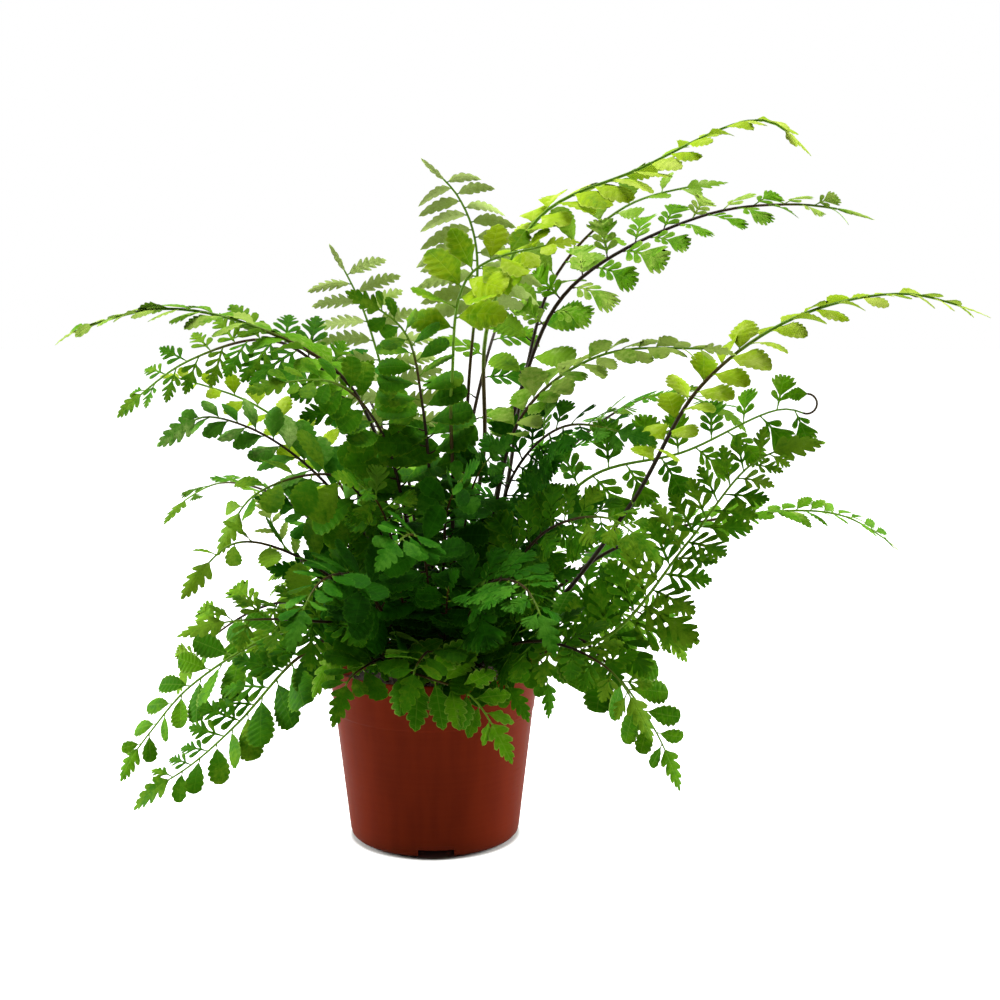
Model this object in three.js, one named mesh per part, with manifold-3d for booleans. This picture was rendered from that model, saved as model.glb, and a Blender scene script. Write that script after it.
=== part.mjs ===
// A fern in a thin plastic nursery pot: pot, soil, crown and one solid for each frond.
// Millimetres, +Z up, origin under the middle of the pot's base, the front towards -Y.

import * as THREE from "three";
import { mergeVertices } from "three/addons/utils/BufferGeometryUtils.js";
import Module from "manifold-3d";

const wasm = await Module();
wasm.setup();

// Pot
const POT_HEIGHT = 100;
const RIM_RADIUS = 60;
const BASE_RADIUS = 48.3;
const WALL = 1.2;
const FLOOR = 1.5;
const FOOT_ROUNDING = 5;
const FOOT_STEPS = 2;
const LEDGE_HEIGHT = 75;
const LEDGE_STEP = 0.4;
const POT_SIDES = 36;

// Drainage: channels under the floor, each with a hole in its roof
const CHANNELS = 4;
const CHANNEL_WIDTH = 20;
const CHANNEL_HEIGHT = 5;
const CHANNEL_START = 31;
const CHANNEL_TURN = -87;
const DRAIN_RADIUS = 4;
const DRAIN_PLACE = 37;
const DRAIN_SIDES = 12;

// Soil and crown
const GAP = 0.3;
const SOIL_EDGE = 86;
const SOIL_MIDDLE = 90;
const SOIL_SLOPE_RADIUS = 45;
const SOIL_FLAT_RADIUS = 30;
const SOIL_BUMP = 1.1;
const CROWN_RADIUS = 35;
const CROWN_BOTTOM = 76;
const CROWN_SHOULDER = 91;
const CROWN_TOP = 97;
const CROWN_TAPER = 5;
const CROWN_SHOULDER_TAPER = 3;
const CROWN_SIDES = 14;

// Fronds
const FOOT_DEPTH = 84;
const FOOT_LEAN = 1.12;
const FOOT_CLEAR = 99;
const STALK_HALF_WIDTH = 1.15;
const TIP_HALF_WIDTH = 0.55;
const STALK_RINGS = 3;
const LEAFLET_ROOT = 4.5;
const END_LEAFLET = 0.9;
const PLAIN_FROM = 0.5;
const BLADE_THICKNESS = 0.8;
const SPACE_BETWEEN = 0.35;
const SPACE_IN_FROND = 0.1;
const SEED = 20240611;

const LIME = 0x9bc832;
const FRESH = 0x5fa52d;
const MID = 0x357f26;
const DARK = 0x1e5a1e;

// Leaflet outlines from the side nearer the frond's foot to the side nearer its tip: how far along
// the leaflet, and how far across it in half breadths.
const FAN = [[0.56, -1], [0.86, -0.78], [0.8, -0.3], [1, 0.06], [0.88, 0.78], [0.5, 1]];
const OVAL = [[0.22, -0.66], [0.6, -1], [0.97, -0.35], [0.93, 0.5], [0.52, 1], [0.2, 0.62]];
const CUT = [[0.36, -1], [0.5, -0.4], [0.76, -0.78], [1, 0], [0.78, 0.8], [0.54, 0.4], [0.38, 1]];
const TOOTHED = [[0.3, -0.75], [0.66, -0.7], [1, -0.25], [0.84, 0.1], [0.8, 0.62], [0.52, 0.5], [0.34, 1]];
const SMALL = [[0.36, -1], [0.96, -0.35], [0.86, 0.55], [0.36, 0.95]];
const FROND_TIP = [[0.12, -0.5], [0.3, -1], [0.44, -0.5], [1, 0], [0.5, 0.5], [0.34, 1]];

// How leaflets stand if their frond doesn't say otherwise: their angle to the midrib at the first and
// the last one, how much smaller the last ones are, and the share of their rise that gravity takes.
const PLAIN = { spread: [74, 54], taper: 0.65, sag: 0 };

// Each frond: where its foot stands on the crown (radius, bearing), the points that its stalk and
// midrib pass, which way its upper side looks at the start and at the end of the leafy stretch, the
// share of the stalk that is bare, the pairs of leaflets, their length and outline, what differs from
// PLAIN, and the green.
const FRONDS = {
  crest: {
    foot: [7, -60], route: [[28, -15, 216], [31, -20, 292], [59, -28, 349], [110, -35, 373], [173, -42, 398],
      [198, -45, 384]],
    faces: [[-0.6, -0.4, 1], [0, -0.25, 1]], bare: 0.52, pairs: 8, length: 24, outline: FAN,
    spread: [66, 40], sag: 0.4, green: LIME },
  upper_right: {
    foot: [7, 0], route: [[30, 5, 170], [48, 10, 250], [76, 15, 310], [150, 20, 351], [203, 22, 358],
      [245, 25, 353]],
    faces: [[-0.6, -0.9, 0.5], [0, -0.7, 0.7]], bare: 0.5, pairs: 8, length: 26, outline: FAN,
    spread: [62, 42], sag: 0.3, green: FRESH },
  behind_crest: {
    foot: [14, 15], route: [[40, 25, 190], [52, 42, 260], [70, 50, 318], [110, 55, 358], [165, 58, 374]],
    faces: [[-0.6, -0.8, 0.6], [0, -0.6, 0.8]], bare: 0.5, pairs: 6, length: 28, outline: OVAL, green: MID },
  long_right: {
    foot: [14, -15], route: [[60, -15, 128], [109, -28, 194], [146, -32, 259], [194, -36, 295],
      [250, -40, 308], [294, -42, 298]],
    faces: [[-0.5, -0.5, 0.8], [0, -0.4, 1]], bare: 0.45, pairs: 8, length: 22, outline: FAN,
    spread: [60, 36], sag: 0.5, green: LIME },
  pale_right: {
    foot: [14, -45], route: [[32, -35, 180], [50, -45, 245], [90, -56, 276], [156, -63, 280]],
    faces: [[-0.3, -0.5, 1], [0, -0.6, 0.9]], bare: 0.52, pairs: 5,
    length: 20, outline: TOOTHED, spread: [60, 40], sag: 0.5, green: FRESH },
  curled_right: {
    foot: [21, -6], route: [[48, -8, 160], [88, -10, 207], [139, -12, 221], [193, -15, 245], [212, -15, 240]],
    faces: [[-0.2, -1, 0.6], [0, -1, 0.5]], bare: 0.4, pairs: 7, length: 26, outline: FAN, green: MID },
  dissected_right: {
    foot: [21, -30], route: [[60, -32, 112], [97, -45, 125], [138, -55, 178], [171, -58, 220],
      [201, -60, 232]],
    faces: [[-0.5, -1, 0.4], [-0.3, -1, 0.5]], bare: 0.3, pairs: 7, length: 31, outline: CUT, green: DARK },
  fine_right: {
    foot: [21, 14], route: [[60, 18, 130], [105, 22, 162], [184, 28, 181], [236, 30, 180], [272, 32, 160]],
    faces: [[0, -0.3, 1], [0.2, -0.3, 1]], bare: 0.4, pairs: 7, length: 18, outline: TOOTHED, green: FRESH },
  drooping_right: {
    foot: [28, -22], route: [[52, -30, 122], [74, -36, 125], [94, -41, 110], [120, -50, 76], [134, -54, 47]],
    faces: [[0.4, -1, 0.6], [0.5, -1, 0.2]], bare: 0.36, pairs: 6, length: 26, outline: OVAL, green: FRESH },
  over_front_rim: {
    foot: [28, -106], route: [[-17, -50, 112], [-19, -64, 112], [0, -74, 108], [22, -80, 100], [42, -88, 72]],
    faces: [[0.1, -1, 0.7], [0.3, -1, 0.4]], bare: 0.34, pairs: 6,
    length: 25, outline: TOOTHED, green: FRESH },
  over_right_rim: {
    foot: [28, -40], route: [[42, -32, 114], [58, -40, 112], [66, -46, 84]],
    faces: [[0.4, -0.8, 1], [0.5, -1, 0]], bare: 0.3, pairs: 3, length: 21, outline: OVAL, green: MID },
  over_left_rim: {
    foot: [28, -128], route: [[-27, -41, 114], [-42, -58, 124], [-51, -68, 116], [-52, -72, 102]],
    faces: [[-0.4, -0.8, 1], [-0.3, -1, 0.2]], bare: 0.3, pairs: 3,
    length: 28, outline: TOOTHED, green: FRESH },
  lower_left: {
    foot: [28, -152], route: [[-50, -35, 122], [-72, -44, 112], [-104, -52, 78], [-130, -55, 55],
      [-158, -58, 38]],
    faces: [[-0.4, -1, 0.8], [-0.4, -1, 0.6]], bare: 0.3, pairs: 7, length: 28, outline: CUT, green: MID },
  oval_left: {
    foot: [28, -174], route: [[-58, -8, 122], [-90, -15, 118], [-136, -20, 90], [-158, -22, 65],
      [-175, -24, 42]],
    faces: [[-0.3, -1, 0.8], [-0.6, -1, 0.4]], bare: 0.35, pairs: 7,
    length: 24, outline: OVAL, green: FRESH },
  forked_left: {
    foot: [21, -146], route: [[-33, -33, 124], [-64, -66, 137], [-95, -84, 141], [-122, -92, 138]],
    faces: [[-0.3, -0.8, 1], [-0.4, -1, 0.8]], bare: 0.35, pairs: 5, length: 28, outline: CUT, green: MID },
  slender_left: {
    foot: [21, 172], route: [[-42, 12, 128], [-66, 20, 147], [-88, 24, 163], [-101, 26, 192]],
    faces: [[0.5, -1, 0.5], [0.5, -1, 0.3]], bare: 0.4, pairs: 5, length: 21, outline: OVAL, green: FRESH },
  broad_left: {
    foot: [14, -140], route: [[-24, -34, 170], [-48, -54, 212], [-89, -70, 205], [-107, -76, 180]],
    faces: [[-0.2, -0.8, 1], [-0.8, -0.8, 0.2]], bare: 0.48, pairs: 5,
    length: 27, outline: OVAL, green: MID },
  dark_left: {
    foot: [14, -165], route: [[-36, -14, 172], [-67, -20, 213], [-100, -25, 236], [-126, -28, 241],
      [-140, -30, 226]],
    faces: [[0.3, -1, 0.7], [-0.3, -1, 0.6]], bare: 0.42, pairs: 6, length: 23, outline: FAN, green: DARK },
  lime_left: {
    foot: [14, 162], route: [[-38, 18, 168], [-68, 30, 215], [-105, 35, 244], [-158, 40, 262]],
    faces: [[0.4, -1, 0.7], [0.2, -0.8, 0.8]], bare: 0.42, pairs: 6, length: 18, outline: FAN, green: LIME },
  long_left: {
    foot: [7, -120], route: [[-20, -16, 195], [-46, -25, 261], [-95, -35, 291], [-143, -38, 300],
      [-197, -40, 286]],
    faces: [[0.3, -0.6, 1], [-0.1, -0.5, 1]], bare: 0.5, pairs: 8, length: 21, outline: TOOTHED,
    spread: [52, 34], sag: 0.5, green: MID },
  dissected_left: {
    foot: [7, 180], route: [[-32, 8, 205], [-60, 12, 262], [-92, 15, 282], [-140, 18, 270], [-179, 20, 242]],
    faces: [[0.2, -0.8, 0.8], [-0.5, -0.9, 0.5]], bare: 0.5, pairs: 7,
    length: 28, outline: CUT, green: DARK },
  feathery_left: {
    foot: [7, 120], route: [[-16, 26, 205], [-33, 42, 270], [-44, 46, 303], [-60, 50, 334]],
    faces: [[0.2, -1, 0.1], [0.2, -1, 0.3]], bare: 0.54, pairs: 7, length: 32, outline: TOOTHED,
    spread: [66, 60], taper: 0.35, sag: 0.45, green: MID },
  top_comb: {
    foot: [7, 60], route: [[14, 10, 180], [20, 12, 260], [24, 14, 335], [14, 16, 362], [-4, 18, 381]],
    faces: [[0, -1, 0], [0.2, -1, 0.2]], bare: 0.7, pairs: 6, length: 31, outline: TOOTHED,
    spread: [80, 70], taper: 0.35, sag: 0.8, green: FRESH },
  pale_centre: {
    foot: [14, -72], route: [[12, -32, 190], [12, -46, 262], [22, -52, 318], [74, -58, 336]],
    faces: [[-0.5, -1, 0.4], [0, -0.8, 0.8]], bare: 0.7, pairs: 4, length: 26, outline: FAN, green: LIME },
  front_middle: {
    foot: [21, -97], route: [[-1, -48, 140], [-3, -78, 180], [-10, -106, 188], [-20, -128, 178]],
    faces: [[0, -0.8, 1], [0, -1, 0.4]], bare: 0.28, pairs: 6, length: 25, outline: OVAL, green: DARK },
  front_right: {
    foot: [21, -74], route: [[18, -50, 130], [32, -82, 160], [50, -118, 164], [62, -148, 144]],
    faces: [[0.1, -0.8, 1], [0.3, -1, 0.4]], bare: 0.27, pairs: 6, length: 25, outline: FAN, green: DARK },
  front_left: {
    foot: [21, -120], route: [[-22, -50, 132], [-38, -84, 164], [-52, -116, 166], [-62, -146, 146]],
    faces: [[-0.1, -0.8, 1], [-0.3, -1, 0.4]], bare: 0.27, pairs: 6, length: 25, outline: OVAL, green: DARK },
  side_right: {
    foot: [21, -52], route: [[34, -42, 142], [62, -72, 186], [92, -98, 196], [114, -118, 182]],
    faces: [[0, -0.8, 1], [0.3, -1, 0.5]], bare: 0.31, pairs: 6, length: 25, outline: FAN, green: MID },
  side_left: {
    foot: [21, -168], route: [[-42, -26, 140], [-72, -62, 172], [-98, -92, 182], [-118, -112, 164]],
    faces: [[0, -0.8, 1], [-0.3, -1, 0.5]], bare: 0.31, pairs: 6, length: 25, outline: OVAL, green: MID },
  low_front_right: {
    foot: [28, -58], route: [[36, -50, 118], [64, -78, 128], [94, -102, 118], [112, -116, 92]],
    faces: [[0, -0.7, 1], [0.4, -1, 0.4]], bare: 0.27, pairs: 5, length: 27, outline: CUT, green: MID },
  low_front_left: {
    foot: [28, -117], route: [[-22, -48, 113], [-32, -75, 115], [-41, -95, 110], [-43, -103, 94]],
    faces: [[0, -0.7, 1], [-0.2, -1, 0.4]], bare: 0.27, pairs: 4, length: 25, outline: OVAL, green: MID },
  broad_centre: {
    foot: [14, -112], route: [[-12, -30, 175], [-26, -46, 236], [-48, -64, 262], [-86, -86, 262]],
    faces: [[0.2, -1, 0.8], [-0.2, -1, 0.8]], bare: 0.41, pairs: 7, length: 24, outline: OVAL, green: MID },
  centre_right: {
    foot: [21, -18], route: [[34, -24, 170], [46, -40, 214], [72, -66, 240], [112, -90, 236]],
    faces: [[0.1, -0.9, 0.9], [0.2, -1, 0.7]], bare: 0.36, pairs: 6, length: 25, outline: FAN, green: DARK },
  centre_up: {
    foot: [14, -92], route: [[0, -28, 190], [-4, -42, 250], [-12, -58, 288], [-36, -76, 308]],
    faces: [[0, -1, 0.5], [0, -1, 0.7]], bare: 0.43, pairs: 7, length: 24, outline: OVAL, green: MID },
  back_tall: {
    foot: [14, 78], route: [[14, 36, 195], [32, 84, 278], [46, 130, 308], [58, 182, 300]],
    faces: [[0.2, -0.2, 1], [0.2, 0.6, 1]], bare: 0.42, pairs: 4, length: 29, outline: FAN, green: MID },
  back_left: {
    foot: [14, 114], route: [[-18, 40, 180], [-44, 88, 246], [-74, 132, 268], [-100, 172, 254]],
    faces: [[-0.2, 0.1, 1], [-0.4, 0.7, 1]], bare: 0.44, pairs: 4, length: 28, outline: OVAL, green: DARK },
  back_right: {
    foot: [14, 45], route: [[42, 38, 165], [88, 78, 222], [142, 112, 246], [194, 140, 228]],
    faces: [[0, 0.2, 1], [0.4, 0.6, 1]], bare: 0.42, pairs: 5, length: 30, outline: CUT, green: MID },
  back_wide_left: {
    foot: [21, 144], route: [[-48, 38, 146], [-92, 74, 182], [-138, 106, 190], [-178, 130, 168]],
    faces: [[-0.2, 0.2, 1], [-0.6, 0.5, 1]], bare: 0.4, pairs: 4, length: 27, outline: FAN, green: MID },
  back_middle: {
    foot: [21, 96], route: [[-2, 52, 150], [-4, 104, 192], [-8, 156, 188], [-12, 196, 158]],
    faces: [[0, 0.3, 1], [0, 1, 0.6]], bare: 0.4, pairs: 4, length: 28, outline: OVAL, green: FRESH },
  back_low_right: {
    foot: [28, 50], route: [[38, 46, 124], [78, 92, 146], [108, 138, 136], [126, 168, 106]],
    faces: [[0.2, 0.2, 1], [0.6, 0.7, 0.6]], bare: 0.36, pairs: 4, length: 28, outline: OVAL, green: MID },
  back_low_left: {
    foot: [28, 126], route: [[-34, 48, 122], [-66, 94, 140], [-94, 138, 128], [-110, 166, 98]],
    faces: [[-0.2, 0.2, 1], [-0.6, 0.7, 0.6]], bare: 0.36, pairs: 4, length: 28, outline: CUT, green: MID },
  back_over_rim: {
    foot: [28, 82], route: [[7, 52, 116], [14, 82, 116], [24, 108, 92], [30, 124, 60]],
    faces: [[0, 0.5, 1], [0.1, 1, 0.4]], bare: 0.32, pairs: 4, length: 27, outline: TOOTHED, green: FRESH },
  low_right: {
    foot: [28, 16], route: [[56, 16, 120], [92, 26, 130], [128, 38, 116], [148, 44, 94]],
    faces: [[0.2, -0.7, 1], [0.5, -1, 0.5]], bare: 0.34, pairs: 4, length: 27, outline: CUT, green: MID },
  low_left: {
    foot: [28, 160], route: [[-54, 22, 120], [-90, 32, 128], [-130, 42, 108], [-158, 48, 74]],
    faces: [[-0.1, -0.6, 1], [-0.4, -0.9, 0.6]], bare: 0.34, pairs: 4, length: 27, outline: FAN, green: MID },
  inner_left: {
    foot: [14, -180], route: [[-31, -3, 138], [-54, -20, 178], [-88, -40, 200]],
    faces: [[0.2, -1, 0.8], [-0.2, -1, 0.8]], bare: 0.28, pairs: 5, length: 25, outline: OVAL, green: DARK },
  inner_right: {
    foot: [14, -30], route: [[32, -20, 140], [52, -34, 180], [88, -52, 200]],
    faces: [[-0.2, -1, 0.8], [0.2, -1, 0.8]], bare: 0.28, pairs: 5, length: 25, outline: FAN, green: DARK },
  inner_middle: {
    foot: [7, -90], route: [[6, -32, 150], [10, -52, 196], [24, -84, 222]],
    faces: [[0, -1, 0.6], [0.2, -1, 0.8]], bare: 0.3, pairs: 5, length: 25, outline: OVAL, green: DARK },
  inner_front_left: {
    foot: [14, -126], route: [[-16, -30, 148], [-26, -54, 196], [-42, -88, 218]],
    faces: [[0, -1, 0.6], [-0.2, -1, 0.8]], bare: 0.3, pairs: 5, length: 25, outline: FAN, green: MID },
  low_front_middle: {
    foot: [21, -86], route: [[2, -45, 114], [-1, -70, 121], [-6, -94, 117], [-9, -106, 102]],
    faces: [[0, -0.8, 1], [0, -1, 0.5]], bare: 0.28, pairs: 4, length: 25, outline: OVAL, green: MID },
  over_middle_rim: {
    foot: [28, -80], route: [[10, -46, 111], [24, -62, 113], [41, -74, 104], [48, -80, 90]],
    faces: [[0, -0.8, 1], [0, -1, 0.2]], bare: 0.36, pairs: 4, length: 23, outline: OVAL, green: MID },
  short_middle: {
    foot: [24.5, -80], route: [[8, -46, 128], [10, -62, 152], [14, -80, 163]],
    faces: [[0, -1, 0.5], [0, -1, 0.7]], bare: 0.3, pairs: 4, length: 24, outline: OVAL, green: DARK },
  short_front_left: {
    foot: [24.5, -110], route: [[-13, -44, 130], [-16, -60, 154], [-20, -80, 166]],
    faces: [[0, -1, 0.5], [-0.1, -1, 0.7]], bare: 0.3, pairs: 4, length: 24, outline: FAN, green: DARK },
  short_left: {
    foot: [24.5, -135], route: [[-30, -38, 134], [-40, -54, 158], [-52, -72, 168]],
    faces: [[-0.2, -1, 0.5], [-0.2, -1, 0.7]], bare: 0.3, pairs: 4, length: 24, outline: OVAL, green: DARK },
  short_front_right: {
    foot: [24.5, -63], route: [[22, -42, 128], [30, -58, 150], [41, -76, 162]],
    faces: [[0.1, -1, 0.5], [0.1, -1, 0.7]], bare: 0.3, pairs: 4, length: 24, outline: OVAL, green: DARK },
  short_right: {
    foot: [24.5, -35], route: [[40, -32, 132], [56, -46, 154], [74, -62, 162]],
    faces: [[0, -1, 0.5], [0.2, -1, 0.7]], bare: 0.3, pairs: 4, length: 24, outline: FAN, green: DARK },
  short_side_left: {
    foot: [24.5, -171], route: [[-46, -14, 132], [-64, -26, 154], [-84, -40, 160]],
    faces: [[0, -1, 0.5], [-0.2, -1, 0.7]], bare: 0.3, pairs: 4, length: 24, outline: OVAL, green: DARK },
  inner_upright: {
    foot: [10.5, -50], route: [[16, -24, 165], [24, -38, 208], [40, -58, 232]],
    faces: [[0, -1, 0.4], [0.2, -1, 0.8]], bare: 0.4, pairs: 4, length: 24, outline: FAN, green: DARK },
};

// How far a leaflet is bent up or down, in degrees, and how much shorter it is, until it is clear
const BENDS = [0, 14, -14, 28, -28, 42, -42];
const SHORTER = [1, 0.8, 0.62];

const degrees = THREE.MathUtils.degToRad;
const lerp = THREE.MathUtils.lerp;

function vector(point) {
  return new THREE.Vector3(...point);
}

function polar(radius, bearing, z) {
  return new THREE.Vector3(radius * Math.cos(degrees(bearing)), radius * Math.sin(degrees(bearing)), z);
}

// A seeded draw between -1 and 1, the same in each run
function seededDraw(seed) {
  let state = seed;
  return () => {
    state = (Math.imul(state, 1664525) + 1013904223) >>> 0;
    return state / 2 ** 31 - 1;
  };
}

// Closed geometry to solid and back

// Shared corners are merged, faces that shrink to a line go, and the faces are turned to point out
function solidOf(geometry) {
  const bare = geometry.clone();
  bare.deleteAttribute("normal");
  bare.deleteAttribute("uv");
  const merged = mergeVertices(bare);
  const corners = merged.index.array;
  const kept = [];
  for (let i = 0; i < corners.length; i += 3) {
    const [a, b, c] = [corners[i], corners[i + 1], corners[i + 2]];
    if (a !== b && b !== c && c !== a) kept.push(a, b, c);
  }
  const vertProperties = Float32Array.from(merged.attributes.position.array);
  const solidWith = (triVerts) => new wasm.Manifold(new wasm.Mesh({ numProp: 3, vertProperties, triVerts }));
  const solid = solidWith(Uint32Array.from(kept));
  return solid.volume() > 0 ? solid : solidWith(Uint32Array.from(kept).reverse());
}

function geometryOf(solid) {
  const mesh = solid.getMesh();
  const geometry = new THREE.BufferGeometry();
  geometry.setAttribute("position", new THREE.BufferAttribute(Float32Array.from(mesh.vertProperties), 3));
  geometry.setIndex(Array.from(mesh.triVerts));
  geometry.computeVertexNormals();
  return geometry;
}

function turnedSolid(profile, sides) {
  const points = profile.map(([radius, z]) => new THREE.Vector2(radius, z));
  return solidOf(new THREE.LatheGeometry(points, sides).rotateX(Math.PI / 2));
}

// Pot

function wallRadius(z) {
  const ledge = z >= LEDGE_HEIGHT ? 0 : LEDGE_STEP;
  return lerp(BASE_RADIUS, RIM_RADIUS, z / POT_HEIGHT) - ledge;
}

function roundedFoot(radius, height, rounding) {
  const arc = [];
  for (let i = 0; i <= FOOT_STEPS; i++) {
    const turn = (Math.PI / 2) * (i / FOOT_STEPS);
    arc.push([radius - rounding + rounding * Math.sin(turn), height + rounding - rounding * Math.cos(turn)]);
  }
  return arc;
}

function potOutside() {
  return turnedSolid(
    [
      [0, 0],
      ...roundedFoot(wallRadius(FOOT_ROUNDING), 0, FOOT_ROUNDING),
      [wallRadius(LEDGE_HEIGHT - 1), LEDGE_HEIGHT - 1],
      [wallRadius(LEDGE_HEIGHT), LEDGE_HEIGHT],
      [RIM_RADIUS, POT_HEIGHT],
      [0, POT_HEIGHT],
    ],
    POT_SIDES,
  );
}

function cavityProfile(shrink, top) {
  const rounding = FOOT_ROUNDING - WALL;
  const foot = FLOOR + shrink;
  const inset = WALL + shrink;
  return [
    [0, foot],
    ...roundedFoot(wallRadius(FOOT_ROUNDING) - inset, foot, rounding),
    [wallRadius(LEDGE_HEIGHT - 2) - inset, LEDGE_HEIGHT - 2],
    [wallRadius(top) - inset, top],
  ];
}

function channelBlock(index, margin) {
  const length = RIM_RADIUS - CHANNEL_START + margin;
  const width = CHANNEL_WIDTH + 2 * margin;
  const depth = 2 * (CHANNEL_HEIGHT + margin);
  const block = new THREE.BoxGeometry(length, width, depth);
  block.translate(CHANNEL_START - margin + length / 2, 0, 0);
  block.rotateZ(degrees(CHANNEL_TURN + (index * 360) / CHANNELS));
  return solidOf(block);
}

function drainHole(index) {
  const hole = new THREE.CylinderGeometry(DRAIN_RADIUS, DRAIN_RADIUS, 4 * CHANNEL_HEIGHT, DRAIN_SIDES);
  hole.rotateX(Math.PI / 2);
  hole.translate(DRAIN_PLACE, 0, 0);
  hole.rotateZ(degrees(CHANNEL_TURN + (index * 360) / CHANNELS));
  return solidOf(hole);
}

function potSolid() {
  let inside = turnedSolid([...cavityProfile(0, POT_HEIGHT + 1), [0, POT_HEIGHT + 1]], POT_SIDES);
  for (let i = 0; i < CHANNELS; i++) inside = inside.subtract(channelBlock(i, WALL));
  let pot = potOutside().subtract(inside);
  for (let i = 0; i < CHANNELS; i++) pot = pot.subtract(channelBlock(i, 0)).subtract(drainHole(i));
  return pot;
}

// Soil and crown

function crownProfile(grow) {
  return [
    [0, CROWN_BOTTOM - grow],
    [CROWN_RADIUS - CROWN_TAPER + grow, CROWN_BOTTOM - grow],
    [CROWN_RADIUS + grow, SOIL_EDGE],
    [CROWN_RADIUS - CROWN_SHOULDER_TAPER + grow, CROWN_SHOULDER],
    [0, CROWN_TOP + grow],
  ];
}

function soilSurface(x, y) {
  const bearing = Math.atan2(y, x);
  const radius = Math.hypot(x, y);
  return SOIL_BUMP * Math.sin(3 * bearing + radius / 9) * Math.cos(radius / 8 + 2 * Math.sin(bearing));
}

function soilSolid() {
  const edge = wallRadius(SOIL_EDGE) - WALL - GAP;
  const profile = cavityProfile(GAP, SOIL_EDGE - 2);
  profile.push([edge, SOIL_EDGE], [SOIL_SLOPE_RADIUS, SOIL_EDGE + 2]);
  profile.push([SOIL_FLAT_RADIUS, SOIL_MIDDLE], [0, SOIL_MIDDLE]);
  const points = profile.map(([radius, z]) => new THREE.Vector2(radius, z));
  const lump = new THREE.LatheGeometry(points, POT_SIDES).rotateX(Math.PI / 2);
  const places = lump.attributes.position;
  for (let i = 0; i < places.count; i++) {
    const [x, y, z] = [places.getX(i), places.getY(i), places.getZ(i)];
    if (z > SOIL_EDGE) places.setZ(i, z + soilSurface(x, y));
  }
  let soil = solidOf(lump).subtract(turnedSolid(crownProfile(GAP), CROWN_SIDES));
  for (let i = 0; i < CHANNELS; i++) soil = soil.subtract(channelBlock(i, WALL + GAP));
  return soil;
}

function crownSolid(stalks) {
  return stalks.reduce((crown, stalk) => crown.subtract(stalk), turnedSolid(crownProfile(0), CROWN_SIDES));
}

// Stalks

function stalkCurve({ foot: [radius, bearing], route }) {
  const start = polar(radius, bearing, FOOT_DEPTH);
  const clear = polar(radius * FOOT_LEAN, bearing, FOOT_CLEAR);
  return new THREE.CatmullRomCurve3([start, clear, ...route.map(vector)]);
}

// Shares of the curve's length where the stalk has a ring, and the pairs that stand between two rings
function stations(frond, curve) {
  const length = curve.getLength();
  const halfRoot = LEAFLET_ROOT / 2 / length;
  const shares = [0, (FOOT_CLEAR - FOOT_DEPTH) / length];
  for (let i = 1; i <= STALK_RINGS; i++) shares.push(lerp(shares[1], frond.bare, i / (STALK_RINGS + 0.6)));
  const pairs = [];
  const end = 1 - (0.75 * END_LEAFLET * frond.length) / length;
  for (let i = 0; i < frond.pairs; i++) {
    const share = lerp(frond.bare, end, i / frond.pairs) + halfRoot;
    pairs.push({ ring: shares.length, place: (i + 0.5) / frond.pairs });
    shares.push(share - halfRoot, share + halfRoot);
  }
  shares.push(end);
  return { shares, pairs };
}

// Along, side and up of the stalk at each ring. Below the leafy stretch the turn is carried down.
function frames(frond, curve, shares) {
  const [first, last] = frond.faces.map((face) => vector(face).normalize());
  const list = shares.map((share) => {
    const along = curve.getTangentAt(share);
    const face = first.clone().lerp(last, Math.max(0, (share - frond.bare) / (1 - frond.bare)));
    const up = face.addScaledVector(along, -face.dot(along)).normalize();
    return { share, along, up, place: curve.getPointAt(share) };
  });
  const leafy = list.findIndex(({ share }) => share >= frond.bare);
  for (let i = leafy - 1; i >= 0; i--) {
    const up = list[i + 1].up.clone();
    list[i].up = up.addScaledVector(list[i].along, -up.dot(list[i].along)).normalize();
  }
  for (const frame of list) frame.side = new THREE.Vector3().crossVectors(frame.up, frame.along);
  return list;
}

// Ridge, left and right corner of the three-sided stalk
function ringCorners({ share, up, side, place }, grow) {
  const half = lerp(STALK_HALF_WIDTH, TIP_HALF_WIDTH, share) + grow;
  return [
    place.clone().addScaledVector(up, half),
    place.clone().addScaledVector(side, half).addScaledVector(up, -0.7 * half),
    place.clone().addScaledVector(side, -half).addScaledVector(up, -0.7 * half),
  ];
}

function geometryFrom(points, corners) {
  const geometry = new THREE.BufferGeometry();
  geometry.setAttribute("position", new THREE.Float32BufferAttribute(points.flatMap((p) => p.toArray()), 3));
  geometry.setIndex(corners);
  return geometry;
}

function stalkSolid(list, grow) {
  const points = list.flatMap((frame) => ringCorners(frame, grow));
  const corners = [0, 1, 2];
  for (let i = 0; i + 1 < list.length; i++) corners.push(...stalkFaces(i, true, true));
  const end = 3 * (list.length - 1);
  corners.push(end, end + 2, end + 1);
  return solidOf(geometryFrom(points, corners));
}

// Faces of the stretch between ring i and the next: its underside, and its left and right side
function stalkFaces(i, left, right) {
  const [ridge, low, high] = [3 * i, 3 * i + 1, 3 * i + 2];
  const [nextRidge, nextLow, nextHigh] = [ridge + 3, low + 3, high + 3];
  const faces = [low, nextLow, nextHigh, low, nextHigh, high];
  if (left) faces.push(ridge, nextRidge, nextLow, ridge, nextLow, low);
  if (right) faces.push(nextRidge, ridge, high, nextRidge, high, nextHigh);
  return faces;
}

// Leaflets

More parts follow.
